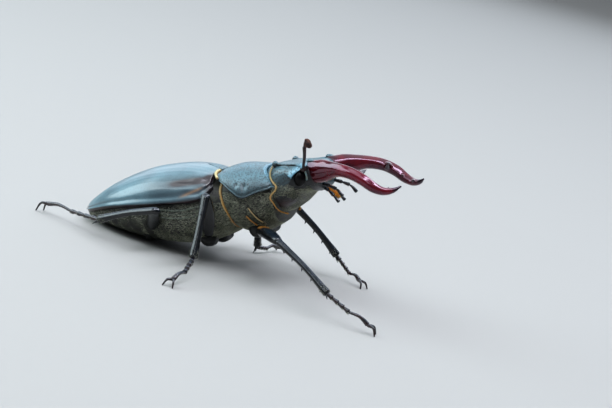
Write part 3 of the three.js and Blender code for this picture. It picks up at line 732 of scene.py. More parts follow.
def chitin(
    name, *, shades, wax_sheen, roughness, punctures, patches, gloss, stains=(), shine=0.5, cast=WHITE
):
    """Hardened insect cuticle.

    Shades are its deep and light colours. Its film argument, given after the shades, is (colour, share,
    low, high) of a pale blue-grey film on what faces up, partly a waxy bloom and mostly painted reflection
    of a bright sky: its share of the colour grows as the skin's upward slope goes from low to high, so that
    what faces up is painted lighter, and it is painted strongest at a slant, as a reflection would be.
    Punctures are (spacing, depth, shade), where shade is how far each pit is darkened as painted shade, and
    patches is the size of its clouds, in millimetres. Gloss is (weight, roughness) of the clear outermost
    layer. Stains are (mark, colour) of places worked out on the mesh; some are painted highlight or painted
    shade. Shine and cast are the share and colour of the light that the chitin below the gloss throws back.
    """
    material, tree = new_finish(name)
    spacing, depth, pit_shade = punctures
    wax_sheen_colour, wax_sheen_share, low, high = wax_sheen
    place = add_node(tree, "ShaderNodeTexCoord").outputs["Object"]
    clouds = {"Scale": per(patches), "Detail": 5.0}
    cloud = add_node(tree, "ShaderNodeTexNoise", None, clouds, {"Vector": place}).outputs["Fac"]
    cells = add_node(tree, "ShaderNodeTexVoronoi", None, {"Scale": per(spacing)}, {"Vector": place})
    grains = {"Scale": per(spacing * 0.45), "Detail": 3.0}
    grain = add_node(tree, "ShaderNodeTexNoise", None, grains, {"Vector": place}).outputs["Fac"]

    spread = {"From Min": 0.35, "From Max": 0.7}
    share = add_node(tree, "ShaderNodeMapRange", SOFT_RANGE, spread, {"Value": cloud}).outputs["Result"]
    tones = {UNDER: shades[0], OVER: shades[1]}
    colour = add_node(tree, "ShaderNodeMix", COLOUR_MIX, tones, {SHARE: share}).outputs[MIXED]

    # Painted light: a pale blue-grey film on what faces up, partly a waxy bloom and mostly the sky's
    # reflection, painted stronger at a slant.
    normal = add_node(tree, "ShaderNodeNewGeometry").outputs["Normal"]
    slope = add_node(tree, "ShaderNodeSeparateXYZ", None, None, {"Vector": normal}).outputs["Z"]
    uneven = {"From Min": 0.3, "From Max": 0.7, "To Min": wax_sheen_share * 0.7, "To Max": wax_sheen_share}
    most = add_node(tree, "ShaderNodeMapRange", SOFT_RANGE, uneven, {"Value": cloud}).outputs["Result"]
    rise = {"From Min": low, "From Max": high}
    film = add_node(tree, "ShaderNodeMapRange", SOFT_RANGE, rise, {"Value": slope, "To Max": most})
    facing = add_node(tree, "ShaderNodeLayerWeight", None, {"Blend": 0.5}).outputs["Facing"]
    slant = {"From Max": 0.2, "To Min": 0.4}
    seen = add_node(tree, "ShaderNodeMapRange", SOFT_RANGE, slant, {"Value": facing}).outputs["Result"]
    both = {0: film.outputs["Result"], 1: seen}
    film = add_node(tree, "ShaderNodeMath", {"operation": "MULTIPLY"}, None, both)
    wax_sheened = {SHARE: film.outputs["Value"], UNDER: colour}
    colour = add_node(tree, "ShaderNodeMix", COLOUR_MIX, {OVER: wax_sheen_colour}, wax_sheened).outputs[MIXED]
    for mark, stain in stains:
        found = add_node(tree, "ShaderNodeAttribute", {"attribute_name": mark}).outputs["Fac"]
        stained = {SHARE: found, UNDER: colour}
        colour = add_node(tree, "ShaderNodeMix", COLOUR_MIX, {OVER: stain}, stained).outputs[MIXED]

    # Painted shade: each pit is darkened towards a deeper copy of the chitin's colour, as if in its own
    # shadow, together with the film and stains over it.
    rim = {"From Min": 0.25, "From Max": 0.5}
    off_centre = {"Value": cells.outputs["Distance"]}
    between_pits = add_node(tree, "ShaderNodeMapRange", SOFT_RANGE, rim, off_centre).outputs["Result"]
    shading = {"To Min": 1.0 - pit_shade}
    lit = add_node(tree, "ShaderNodeMapRange", None, shading, {"Value": between_pits}).outputs["Result"]
    shaded_pit_floor = tuple(channel * 0.4 for channel in shades[0][:3]) + (1.0,)
    open_skin = {SHARE: lit, OVER: colour}
    colour = add_node(tree, "ShaderNodeMix", COLOUR_MIX, {UNDER: shaded_pit_floor}, open_skin).outputs[MIXED]

    fine = {"Strength": 0.35, "Distance": depth * MM}
    coarse = {"Strength": 0.8, "Distance": depth * MM}
    bump = add_node(tree, "ShaderNodeBump", None, fine, {"Height": grain}).outputs["Normal"]
    bump = add_node(tree, "ShaderNodeBump", None, coarse, {"Height": between_pits, "Normal": bump})
    worn = {"From Min": 0.3, "From Max": 0.75, "To Min": roughness - 0.05, "To Max": roughness + 0.07}
    rough = add_node(tree, "ShaderNodeMapRange", SOFT_RANGE, worn, {"Value": cloud}).outputs["Result"]
    surface = add_node(
        tree,
        "ShaderNodeBsdfPrincipled",
        None,
        {
            "IOR": CHITIN_IOR,
            "Specular IOR Level": shine,
            "Specular Tint": cast,
            "Coat Weight": gloss[0],
            "Coat Roughness": gloss[1],
            "Coat IOR": CHITIN_IOR,
        },
        {"Base Color": colour, "Roughness": rough, "Normal": bump.outputs["Normal"]},
    )
    add_node(tree, "ShaderNodeOutputMaterial", None, None, {"Surface": surface.outputs["BSDF"]})
    return material


def polished_wing_case(colours):
    # Smooth hard chitin, dark maroon under a blue-grey film with a wide soft gloss. The film is partly a
    # waxy bloom and mostly painted reflection of a bright sky, which gives it the blue-grey of worn steel,
    # and the maroon mark lays painted shade on it. Its punctures are too fine and shallow to break the
    # gloss.
    return chitin(
        "waxy_maroon_wing_case_chitin",
        shades=(colours.wing_case, colours.wing_case_light),
        wax_sheen=(colours.wing_wax_sheen, 0.82, -0.9, 0.3),
        roughness=0.34,
        punctures=(0.28, 0.004, 0.12),
        patches=3.5,
        gloss=(0.6, 0.2),
        stains=(("maroon", colours.wing_case), ("tan", colours.shoulder)),
    )


def punctured_plate(colours):
    # Black chitin set close with punctures, which break its gloss into a satin. They are drawn at twice
    # their real spacing so that they show. Its blue-grey is a film, partly a waxy bloom and mostly painted
    # sky reflection, and the bead along its front carries a painted highlight.
    return chitin(
        "punctured_black_shield_chitin",
        shades=(colours.cuticle, colours.cuticle_light),
        wax_sheen=(colours.body_wax_sheen, 0.8, -0.4, 0.7),
        roughness=0.42,
        punctures=(0.23, 0.03, 0.68),
        patches=1.8,
        gloss=(0.25, 0.25),
        stains=(("rim", colours.rim),),
    )


def rough_head_plate(colours):
    # The head's chitin is more coarsely punctured. It carries a painted highlight on the shelf over the eye
    # and painted shade in the eye's socket under the shelf and on the cheek before it, and it is smooth and
    # dark red low on the cheek.
    return chitin(
        "coarsely_punctured_head_chitin",
        shades=(colours.cuticle, colours.cuticle_light),
        wax_sheen=(colours.body_wax_sheen, 0.75, -0.5, 0.7),
        roughness=0.38,
        punctures=(0.27, 0.04, 0.8),
        patches=1.4,
        gloss=(0.25, 0.16),
        stains=(("shelf", colours.rim), ("ruddy", colours.cheek), ("socket", colours.cuticle)),
    )


def downy_belly(colours):
    # The belly's plates are dull olive-grey between the short hairs that they carry, with pale seams, and
    # painted a little paler on what faces up.
    return chitin(
        "dull_downy_belly_chitin",
        shades=(colours.belly, colours.belly_light),
        wax_sheen=(colours.belly_light, 0.3, -0.2, 0.8),
        roughness=0.55,
        punctures=(0.3, 0.03, 0.6),
        patches=1.2,
        gloss=(0.08, 0.3),
        stains=(("seam", colours.seam),),
    )


def polished_jaw(colours):
    # Blood-red jaws polished like lacquer, black on their teeth and points, and painted a paler red on what
    # faces up.
    return chitin(
        "polished_red_jaw_chitin",
        shades=(colours.jaw, colours.jaw_light),
        wax_sheen=(colours.jaw_light, 0.2, 0.2, 0.9),
        roughness=0.14,
        punctures=(0.5, 0.002, 0.0),
        patches=3.0,
        gloss=(0.6, 0.05),
        stains=(("dark", colours.jaw_tip),),
        shine=0.7,
        cast=colours.jaw_cast,
    )


def glossy_limb(colours):
    # Glossy black leg chitin with sparse fine punctures and a blue sheen painted above, which stands for
    # the sky's reflection.
    return chitin(
        "glossy_black_leg_chitin",
        shades=(colours.limb, colours.limb_light),
        wax_sheen=(colours.limb_wax_sheen, 0.3, 0.3, 0.95),
        roughness=0.14,
        punctures=(0.25, 0.01, 0.3),
        patches=1.2,
        gloss=(0.35, 0.08),
        shine=0.4,
    )


def dull_hip(colours):
    # The hips are black like the legs, with closer punctures that leave them a dull satin, and painted
    # paler on what faces up.
    return chitin(
        "satin_black_hip_chitin",
        shades=(colours.limb, colours.belly),
        wax_sheen=(colours.belly_light, 0.3, 0.2, 0.95),
        roughness=0.5,
        punctures=(0.3, 0.03, 0.6),
        patches=1.2,
        gloss=(0.05, 0.3),
    )


def glossy_foot(colours):
    # The feet are thinner chitin, and so a dark red-brown, with the legs' painted blue sheen on what faces
    # up.
    return chitin(
        "glossy_brown_foot_chitin",
        shades=(colours.foot, colours.limb),
        wax_sheen=(colours.limb_wax_sheen, 0.35, 0.2, 0.95),
        roughness=0.28,
        punctures=(0.3, 0.008, 0.3),
        patches=0.9,
        gloss=(0.6, 0.12),
    )


def antenna_stem(colours):
    # Dark brown satin chitin.
    return chitin(
        "satin_brown_antenna_chitin",
        shades=(colours.antenna, colours.foot),
        wax_sheen=(colours.antenna, 0.2, 0.2, 0.9),
        roughness=0.4,
        punctures=(0.2, 0.008, 0.3),
        patches=0.8,
        gloss=(0.25, 0.2),
    )


def antenna_club(colours):
    # The club's leaves are dull, with a close pile of sense hairs, and painted paler on what faces up.
    return chitin(
        "velvety_club_chitin",
        shades=(colours.antenna, colours.club),
        wax_sheen=(colours.club, 0.5, -0.2, 0.9),
        roughness=0.75,
        punctures=(0.14, 0.02, 0.4),
        patches=0.5,
        gloss=(0.0, 0.3),
    )


def faceted_eye(colours):
    # A compound eye: near-black, as its facets swallow most of the light. They are drawn at 0.1 mm so that
    # they show.
    return chitin(
        "faceted_glossy_eye",
        shades=(colours.eye, colours.eye),
        wax_sheen=(colours.eye, 0.0, 0.0, 1.0),
        roughness=0.32,
        punctures=(0.1, 0.006, 0.6),
        patches=1.0,
        gloss=(0.1, 0.2),
        shine=0.15,
    )


def soft_membrane(colours):
    # The bare skin at the jaws' joints is pale, soft and dull, with the painted blue-grey sheen on what
    # faces up.
    return chitin(
        "soft_pale_joint_membrane",
        shades=(colours.seam, colours.body_wax_sheen),
        wax_sheen=(colours.body_wax_sheen, 0.4, 0.0, 1.0),
        roughness=0.5,
        punctures=(0.12, 0.006, 0.3),
        patches=0.4,
        gloss=(0.1, 0.3),
    )


def hair_finish(name, root, near, far, roughness):
    """Hair, darker at its root. Each hair's own tint goes from near to far."""
    material, tree = new_finish(name)
    tint = add_node(tree, "ShaderNodeAttribute", {"attribute_name": "tint"}).outputs["Fac"]
    out = add_node(tree, "ShaderNodeAttribute", {"attribute_name": "tip"}).outputs["Fac"]
    tones = {UNDER: near, OVER: far}
    shade = add_node(tree, "ShaderNodeMix", COLOUR_MIX, tones, {SHARE: tint}).outputs[MIXED]
    rise = {"From Min": 0.0, "From Max": 0.6, "To Min": 0.15}
    share = add_node(tree, "ShaderNodeMapRange", SOFT_RANGE, rise, {"Value": out}).outputs["Result"]
    grown = {SHARE: share, OVER: shade}
    colour = add_node(tree, "ShaderNodeMix", COLOUR_MIX, {UNDER: root}, grown).outputs[MIXED]
    surface = add_node(
        tree,
        "ShaderNodeBsdfPrincipled",
        None,
        {"Roughness": roughness, "IOR": 1.55, "Sheen Weight": 0.3, "Sheen Roughness": 0.4},
        {"Base Color": colour},
    )
    add_node(tree, "ShaderNodeOutputMaterial", None, None, {"Surface": surface.outputs["BSDF"]})
    return material


def golden_fringe(colours):
    # Stiff hairs set close along the plates' edges, golden below and the colour of cream above.
    return hair_finish("golden_fringe_hair", colours.fringe_root, colours.fringe, colours.cream, 0.45)


def short_down(colours):
    # Short olive-grey hairs that lie flat.
    return hair_finish("short_olive_grey_down", colours.belly, colours.down_dark, colours.down, 0.5)


def orange_brush(colours):
    # The soaked orange hair of the lapping mouthparts.
    return hair_finish("orange_mouth_hair", colours.brush_root, colours.brush, colours.brush_light, 0.4)


def studio_paper(colours):
    # Pale matt paper with a faint tooth.
    material, tree = new_finish("pale_matt_studio_paper")
    place = add_node(tree, "ShaderNodeTexCoord").outputs["Object"]
    fibres = {"Scale": per(1.5), "Detail": 3.0}
    tooth = add_node(tree, "ShaderNodeTexNoise", None, fibres, {"Vector": place}).outputs["Fac"]
    press = {"Strength": 0.1, "Distance": 0.05 * MM}
    bump = add_node(tree, "ShaderNodeBump", None, press, {"Height": tooth}).outputs["Normal"]
    surface = add_node(
        tree,
        "ShaderNodeBsdfPrincipled",
        None,
        {"Base Color": colours.floor, "Roughness": 0.85, "Specular IOR Level": 0.2},
        {"Normal": bump},
    )
    add_node(tree, "ShaderNodeOutputMaterial", None, None, {"Surface": surface.outputs["BSDF"]})
    return material


made = {}


def finish(maker, context):
    """The material that a maker gives, made once."""
    if maker.__name__ not in made:
        made[maker.__name__] = maker(context.scene.beetle_colours)
    return made[maker.__name__]


# ---------------------------------------------------------------- settings


def colour_setting(name, code, description):
    return bpy.props.FloatVectorProperty(
        name=name, description=description, subtype="COLOR", size=4, min=0.0, max=1.0, default=linear(code)
    )


def length_setting(name, millimetres, description):
    return bpy.props.FloatProperty(
        name=name, description=description, unit="LENGTH", precision=5, min=0.0, default=millimetres * MM
    )


def angle_setting(name, degrees, description):
    return bpy.props.FloatProperty(
        name=name, description=description, unit="ROTATION", default=math.radians(degrees)
    )


def power_setting(name, watts, description):
    return bpy.props.FloatProperty(name=name, description=description, unit="POWER", default=watts)


class BeetleColours(bpy.types.PropertyGroup):
    """The colours of the beetle's plates and hairs, and of the floor."""

    wing_case: colour_setting("Wing case", "#1e0714", "Dark maroon of the wing cases")
    wing_case_light: colour_setting("Wing case, light", "#38191f", "Paler clouds on the wing cases")
    # Painted light: blue-grey laid on the wing cases' upper faces, mostly the sky's reflection over a waxy
    # bloom.
    wing_wax_sheen: colour_setting("Wing wax", "#7099a5", "Blue-grey film of wax on the wing cases")
    shoulder: colour_setting("Shoulder", "#a58468", "Tan edge of a wing case behind its shoulder")
    cuticle: colour_setting("Cuticle", "#0b0d10", "Black of the forebody and head")
    cuticle_light: colour_setting("Cuticle, light", "#191d21", "Paler clouds on the forebody and head")
    # Painted light: blue-grey laid on the forebody's and head's upper faces, mostly the sky's reflection
    # over a waxy bloom. The joint skin also takes it as its pale colour.
    body_wax_sheen: colour_setting("Body wax", "#6a919d", "Blue-grey film of wax on the forebody and head")
    # Painted highlight: the bright colour laid on the shield's front bead and on the shelf over the eye.
    rim: colour_setting("Rim", "#82b6cc", "Bright blue-grey of the raised rims")
    cheek: colour_setting("Cheek", "#2c0d0e", "Smooth dark red patch low on the cheek")
    belly: colour_setting("Belly", "#14130f", "Dull dark brown of the belly")
    belly_light: colour_setting("Belly, light", "#44463a", "Paler clouds on the belly")
    seam: colour_setting("Seam", "#7f8a7c", "Pale seams between the belly's plates")
    jaw: colour_setting("Jaw", "#3a020a", "Blood red of the jaws")
    jaw_light: colour_setting("Jaw, light", "#6a0412", "Paler clouds on the jaws")
    jaw_cast: colour_setting("Jaw cast", "#d3a6cb", "Violet cast of the light that the jaws throw back")
    jaw_tip: colour_setting("Jaw tip", "#0a0406", "Black of the jaws' teeth and points")
    eye: colour_setting("Eye", "#050303", "Near-black brown of the eyes")
    limb: colour_setting("Leg", "#050607", "Black of the legs")
    limb_light: colour_setting("Leg, light", "#14161c", "Paler clouds on the legs")
    # Painted sheen: the blue laid on the upper faces of the legs and feet, standing for the sky's
    # reflection.
    limb_wax_sheen: colour_setting("Leg wax", "#324c63", "Blue sheen above on the legs")
    foot: colour_setting("Foot", "#2a0d0b", "Red-brown of the feet")
    antenna: colour_setting("Antenna", "#23120f", "Dark brown of the antennae")
    club: colour_setting("Club", "#6b4638", "Dull brown of the antennae's clubs")
    down: colour_setting("Down", "#d4d6bd", "Short hair on the belly and cheeks")
    down_dark: colour_setting("Down, dark", "#82856c", "The darkest of the short hairs")
    fringe: colour_setting("Fringe", "#f7b548", "Golden hair along the plates' edges")
    cream: colour_setting("Fringe, pale", "#f1e6b4", "The same hair on the upper side")
    fringe_root: colour_setting("Fringe root", "#bd7f2c", "The golden hair at its root")
    brush: colour_setting("Mouth brush", "#fb9410", "Orange hair of the mouth")
    brush_light: colour_setting("Mouth brush, light", "#ffc94e", "The palest of the orange hairs")
    brush_root: colour_setting("Mouth brush root", "#e8801a", "The orange hair at its root")
    floor: colour_setting("Floor", "#b0afac", "Pale paper that the beetle stands on")


class BeetleCoat(bpy.types.PropertyGroup):
    """The sizes of the beetle's hair."""

    down_length: length_setting("Down length", 0.32, "Length of the short hair that lies flat")
    fringe_length: length_setting("Fringe length", 0.34, "Length of the golden hair at the plates' edges")
    brush_length: length_setting("Brush length", 1.9, "Length of the orange hair of the mouth")
    hair_width: length_setting("Hair width", 0.035, "Width of a hair, drawn a little thicker than life")


class BeetleStudio(bpy.types.PropertyGroup):
    """Where the camera stands, and how strong the lights are."""

    azimuth: angle_setting("Azimuth", 17.0, "Camera's turn to the right")
    elevation: angle_setting("Elevation", 11.0, "Camera's height over the floor")
    roll: angle_setting("Roll", 15.0, "Camera's roll, which sets the body level")
    distance: length_setting("Distance", 350.0, "From the camera to the hips")
    lens: bpy.props.FloatProperty(
        name="Lens", description="Focal length in millimetres", min=10.0, default=142.06
    )
    overhead: power_setting("Overhead", 0.6, "Power of the softbox over the beetle in watts")
    key: power_setting("Key", 1.5, "Power of the narrow softbox high overhead in watts")
    left: power_setting("Left", 1.45, "Power of the softbox behind the tail in watts")
    back: power_setting("Back", 1.25, "Power of the softbox behind the beetle in watts")
    front: power_setting("Front", 0.6, "Power of the softbox high over the camera in watts")
    room: bpy.props.FloatProperty(
        name="Room", description="Strength of the room's even light", min=0.0, default=0.25
    )


# ---------------------------------------------------------------- wing cases


def edge_bead(distance, height, width=0.12):
    """The raised rim along a plate's edge and the fine groove inside it, from the distance to the edge."""
    return height * hump(distance, width, width * 0.85) - height * 0.6 * hump(distance, width * 3.2, width)


def elytron_form(side):
    """One wing case: a thin domed shell from the seam, over the side and a little under it."""
    t = np.concatenate((np.linspace(0, 0.9, 96)[:-1], np.linspace(0.9, 1.0, 30)))[:, None]
    degrees = np.concatenate((np.linspace(90, 20, 46)[:-1], np.linspace(20, -36, 44)))[None, :]
    outer = section(ELYTRA, t, np.radians(degrees))
    outer[..., 1] = np.maximum(outer[..., 1], SEAM)
    middle = along(ELYTRA, t[:, 0])
    # The base of the wing case rounds down towards the waist.
    fall = smooth(0.955, 1.0, t) ** 1.5
    outer[..., 2] = mix(outer[..., 2], middle[:, None, 3], 0.22 * fall)
    outer[..., 1] *= 1 - 0.05 * fall
    normal = unit(np.cross(np.gradient(outer, axis=1), np.gradient(outer, axis=0)))
    crown = (60, 5)  # a point of the grid on top of the wing case, where its skin faces up
    normal *= np.sign(normal[..., 2][crown])
    arc = np.cumsum(np.linalg.norm(np.diff(outer, axis=1, prepend=outer[:, :1]), axis=-1), axis=1)
    x = outer[..., 0]
    # A bead and a groove run along the seam and the side margin.
    relief = edge_bead(arc, 0.07)
    relief += sum(height * hump(degrees, *place) for height, *place in (MARGIN_BEAD, MARGIN_GROOVE))
    for height, lengthwise, round_body in ELYTRON_BUMPS:
        relief += height * hump(x, *lengthwise) * hump(degrees, *round_body)
    # Faint ripples run lengthwise, away from the seam.
    relief += 0.01 * np.sin(arc * 5.5 + 0.3 * np.sin(x * 0.9)) * smooth(0.8, 2.0, arc)
    outer = outer + normal * relief[..., None]
    inner = outer - normal * ELYTRON_THICKNESS
    inner[..., 1] = np.maximum(inner[..., 1], SEAM)
    outer[..., 1] = np.maximum(outer[..., 1], SEAM)
    points, faces = shell(outer, inner)
    points[:, 1] *= side
    return points, faces


MAROON_HEIGHT = 2.75  # of the middle of the wing case's dark band, in the hindbody's own axes


def maroon(points):
    """Where the wing case shows its bare dark maroon instead of the painted sky sheen: a band of painted
    shade behind the shoulder, wider and fainter to the rear, painted shade on the front of the shoulder,
    and a darker strip along the rear's lowest edge.
    """
    x, _, z = points.T
    off = z - MAROON_HEIGHT
    # Painted shade: the dark band of the reflection behind the shoulder, where the painted sky sheen gives
    # way, with a fainter haze to the rear.
    band = 1.3 * hump(off, 0.0, 0.46) * smooth(-6.5, -4.0, x) * smooth(0.6, -0.6, x)
    haze = 0.42 * hump(off, 0.0, 1.0) * smooth(-12.0, -6.0, x) * smooth(0.5, -1.5, x)
    # Darker along the rear's lowest edge, and painted shade on the front of the shoulder where it meets the
    # body.
    under = 0.8 * smooth(0.45, 0.1, z) * smooth(-16.0, -12.0, x)
    shoulder = 0.9 * smooth(-0.9, 0.1, x) * smooth(3.8, 3.1, z)
    return np.clip(0.85 * band + haze + under + shoulder, 0.0, 1.0)


def tan(points):
    """The tan edge behind the shoulder, low on the wing case's side."""
    x, _, z = points.T
    line = 1.0 + 0.28 * (x + 3.3)
    return 0.75 * hump(z, line, 0.2) * smooth(-4.6, -3.0, x) * smooth(-0.4, -1.4, x)


def scutellum_form():
    """The small shield between the wing cases' bases."""
    tip, base, half = SCUTELLUM["tip"], SCUTELLUM["base"], SCUTELLUM["half_width"]
    s = np.linspace(0, 1, 25)
    x = (1 - s) ** 2 * base + 2 * s * (1 - s) * (tip + 0.6) + s**2 * tip
    y = (1 - s) ** 2 * half + 2 * s * (1 - s) * half * 0.9
    left = np.stack((x, y), axis=-1)
    front = np.stack((np.full(9, base), np.linspace(-half, half, 9)), axis=-1)
    outline = np.vstack((left, left[-2:0:-1] * (1, -1), front))
    centre = outline.mean(axis=0)
    rings = []
    for inset, height in SCUTELLUM_RINGS:
        spot = mix(centre, outline, inset)
        t = np.array([share_at(ELYTRA, x) for x in spot[:, 0]])
        roof = section(ELYTRA, t, np.full(len(t), math.pi / 2))[:, 2]
        width = along(ELYTRA, t)[:, 1]
        sag = (1 - np.sqrt(np.maximum(1 - (np.abs(spot[:, 1]) / width) ** 2, 0))) * 3.5
        rings.append(np.column_stack((spot, roof - sag + height)))
    return skin(np.array(rings))


# ---------------------------------------------------------------- forebody and belly


def shield_skin(station, share):
    """Points across the shield at a station. Share goes from -1 at its right edge to 1 at its left."""
    x, w, top, edge, forward = station
    arch = np.sqrt(np.maximum(1 - np.abs(share) ** 2.3, 0))
    return np.stack((x + forward * share**4, w * share, edge + (top - edge) * arch), axis=-1)


def pronotum_form():
    """The shield of the forebody, with a fine bead along its front, rear and sides."""
    rows, columns = 120, 130
    t = np.linspace(0, 1, rows)
    share = np.cos(np.linspace(0, math.pi, columns))[None, :]
    outer = shield_skin(along(PRONOTUM, t).T[..., None], share)
    normal = unit(np.cross(np.gradient(outer, axis=0), np.gradient(outer, axis=1)))
    normal *= np.sign(normal[rows // 2, columns // 2, 2])
    step = np.linalg.norm(np.diff(outer, axis=1, prepend=outer[:, :1]), axis=-1)
    arc = np.cumsum(step, axis=1)
    from_side = np.minimum(arc, arc[:, -1:] - arc)
    long = (PRONOTUM[-1][0] - PRONOTUM[0][0]) * np.ones_like(share)
    relief = edge_bead(from_side, 0.05) + edge_bead((1 - t[:, None]) * long, 0.12)
    relief += edge_bead(t[:, None] * long, 0.07)
    y, along_x = outer[..., 1], outer[..., 0]
    relief -= 0.07 * hump(y, 0, 0.3) * smooth(0.8, 2.5, along_x) * smooth(6.8, 5.0, along_x)
    for side in (-1, 1):
        for pit_x, pit_y, size, depth in SHIELD_DENTS:
            relief -= depth * hump(y, side * pit_y, size) * hump(along_x, pit_x, size * 1.4)
    outer = outer + normal * relief[..., None]
    inner = outer - normal * PRONOTUM_FLESH
    return shell(outer, inner)


def shield_rim_highlight(points):
    """Painted highlight: how much bright blue-grey lies on the smooth bead along the shield's front edge,
    where it catches the light.
    """
    x, y, _ = points.T
    front = PRONOTUM[-1][0] + PRONOTUM[-1][4] * np.abs(y / PRONOTUM[-1][1]) ** 4
    return 0.55 * smooth(0.62, 0.4, front - x)


def from_keel(turn):
    """Degrees round a body from the middle of its underside."""
    return np.abs(((np.degrees(turn) - 270) + 180) % 360 - 180)


def prosternum_relief(rings, turn):
    """A raised rim behind and before, the seams over the front hips and a keel between them."""
    x, height = rings[..., 0], from_keel(turn)
    relief = 0.1 * hump(x, 9.6, 0.35) + 0.08 * hump(x, 1.6, 0.3)
    for (x0, turn0), (x1, turn1) in COXAL_SEAMS:
        share = np.clip((x - x0) / (x1 - x0), 0.0, 1.0)
        off = height - (270 - mix(turn0, turn1, share))
        here = smooth(x0 - 0.5, x0, x) * smooth(x1 + 0.5, x1, x)
        relief += here * (0.12 * hump(off, 2.0, 2.2) - 0.14 * hump(off, -2.5, 2.5))
    return relief + 0.25 * hump(height, 0, 9.0) * hump(x, 5.5, 2.4)


def flank_seams(x, height):
    """The raised seams between the plates of the middle body's side."""
    lines = 0.0
    for level, weight in FLANK_SEAMS:
        lines = lines + weight * hump(height, level + 0.28 * (x + 4.8) ** 2, 0.8)
    return lines * smooth(-9.8, -8.6, x) * smooth(0.3, -0.7, x)


def hindbody_relief(rings, turn):
    """Plates of the middle body: seams along the flank and a furrow along the breast."""
    x, height = rings[..., 0], from_keel(turn)
    relief = 0.09 * flank_seams(x, height) - 0.08 * flank_seams(x, height + 1.8)
    relief -= 0.14 * hump(height, 0, 2.0) * smooth(-9.0, -6.5, x) * smooth(0.0, -1.5, x)
    return relief + sternite_step(x, turn) * smooth(-8.0, -9.5, x)


def seam_mark(points):
    """How much of the pale seams shows at points on the middle body's skin."""
    x, y, z = points.T
    t = np.interp(x, along(HINDBODY, FINE_STEPS)[:, 0], FINE_STEPS)
    _, w, top, middle, low, above, below = along(HINDBODY, t).T
    rise = z - middle
    power = np.where(rise > 0, above, below) / 2
    out = np.clip(np.abs(y) / w, 0, 1) ** power
    height = np.where(rise > 0, top - middle, middle - low)
    up = np.sign(rise) * np.clip(np.abs(rise) / height, 0, 1) ** power
    return np.clip(0.75 * flank_seams(x, 90 + np.degrees(np.arctan2(up, out))), 0, 1)


def sternite_step(x, turn):
    """Each belly plate's rear edge stands over the front of the next."""
    share = ((x - (ABDOMEN_FRONT - 5 * STERNITE)) / STERNITE) % 1.0
    return 0.16 * (1 - share) ** 1.5 * smooth(-0.08, -0.3, np.sin(turn))


def abdomen_relief(rings, turn):
    """The steps between the belly's plates, and a slight hollow on top, under the wing cases."""
    return sternite_step(rings[..., 0], turn) - 0.04 * smooth(0.2, 0.6, np.sin(turn))


# ---------------------------------------------------------------- head


def mirror_form(form, side):
    points, faces = form
    return points * (1, side, 1), faces


def head_relief(rings, turn):
    """The hollow of the forehead and the low ridge behind the lip."""
    x, y = rings[..., 0], rings[..., 1]
    over = smooth(0.25, 0.7, np.sin(turn))
    relief = -0.38 * hump(y, 0, 2.9) * hump(x, 2.4, 2.3) * over
    return relief + 0.16 * hump(x, 5.3, 0.5) * smooth(4.6, 3.2, np.abs(y)) * over


def head_form():
    """The skull with its ridges and the bumps that they start from."""
    forms = [body(HEAD, rows=110, sides=120, relief=head_relief)]
    for side in SIDES.values():
        ridge = [mirrored(p, side) for p in CARINA["path"]]
        keel, bump = CARINA["radius"] * 0.65, CARINA["bump"] * 0.8
        keeled = tube(
            ridge, lambda t: (keel, keel * (0.75 + 0.35 * t)), sides=24, steps=30, ends=(1, 1)
        )
        forms.append(keeled)
        forms.append(ball(ridge[0], (bump, bump, bump)))
        for place, size in HEAD_KNOBS:
            forms.append(ball(mirrored(place, side), size))
    return joined(forms)


HEAD_SIDE = (3.9, 5.0)  # distances from the midline between which the head's top turns into its side
LINE_POINTS = 160  # how many points stand for a line when the nearest one is looked up


def off_line(points, path):
    """Signed distance of points, seen from the side, to a line of (x, z) points, and their place along it
    from 0 to 1. Distance is positive on the line's left."""
    t = np.linspace(0.0, 1.0, LINE_POINTS)
    line = on_path([(x, 0.0, z) for x, z in path], t)[:, (0, 2)]
    gap = points[:, None, (0, 2)] - line[None]
    far = np.linalg.norm(gap, axis=-1)
    nearest = far.argmin(axis=1)
    rows = np.arange(len(points))
    way = unit(np.gradient(line, axis=0))[nearest]
    to_point = gap[rows, nearest]
    turned = way[:, 0] * to_point[:, 1] - way[:, 1] * to_point[:, 0]
    return np.where(turned >= 0, 1.0, -1.0) * far[rows, nearest], t[nearest]


def shelf_edge(points):
    """How far points lie above the sharp edge over the eye, and how much of the shelf is there."""
    off, t = off_line(points, [(x, z) for x, _, z in CANTHUS["path"]])
    beside = smooth(*HEAD_SIDE, np.abs(points[:, 1]))
    return -off, beside * smooth(0.0, 0.08, t) * smooth(1.0, 0.88, t)


def head_features(points):
    """Shapes the shelf over the eye, its socket, the groove under the ridge and the cheek's swelling."""
    moved = points.copy()
    x, y, z = points.T
    beside = smooth(*HEAD_SIDE, np.abs(y))
    # The shelf stands out over the eye, whose socket is sunk.
    above, shelf = shelf_edge(points)
    out = 0.42 * shelf * smooth(-0.05, 0.05, above) * hump(above, 0.15, 0.75)
    eye_x, _, eye_z = EYE["centre"]
    socket = hump(np.hypot((x - eye_x) / 1.25, (z - eye_z) / 1.5), 0.0, 1.0)
    out -= 0.3 * socket * beside * smooth(0.05, -0.1, above)
    # A groove runs under the ridge.
    groove, t = off_line(points, HEAD_GROOVE)
    out -= 0.15 * hump(groove, 0.0, 0.2) * beside * smooth(0.0, 0.1, t) * smooth(1.0, 0.9, t)
    # The cheek swells low on the side, with a crease in front of it.
    out += 0.3 * hump(x, 1.9, 1.5) * hump(z, -2.3, 0.8) * smooth(2.5, 4.2, np.abs(y))
    out -= 0.16 * hump(x - 0.35 * z, 3.3, 0.28) * smooth(-0.6, -1.6, z) * beside
    moved[:, 1] += np.sign(y) * out
    return moved


def shelf_highlight(points):
    """How much painted highlight lies on the punctured shelf over the eye, where it catches the light."""
    above, shelf = shelf_edge(points)
    return 0.75 * shelf * smooth(-0.03, 0.06, above) * smooth(1.15, 0.5, above)


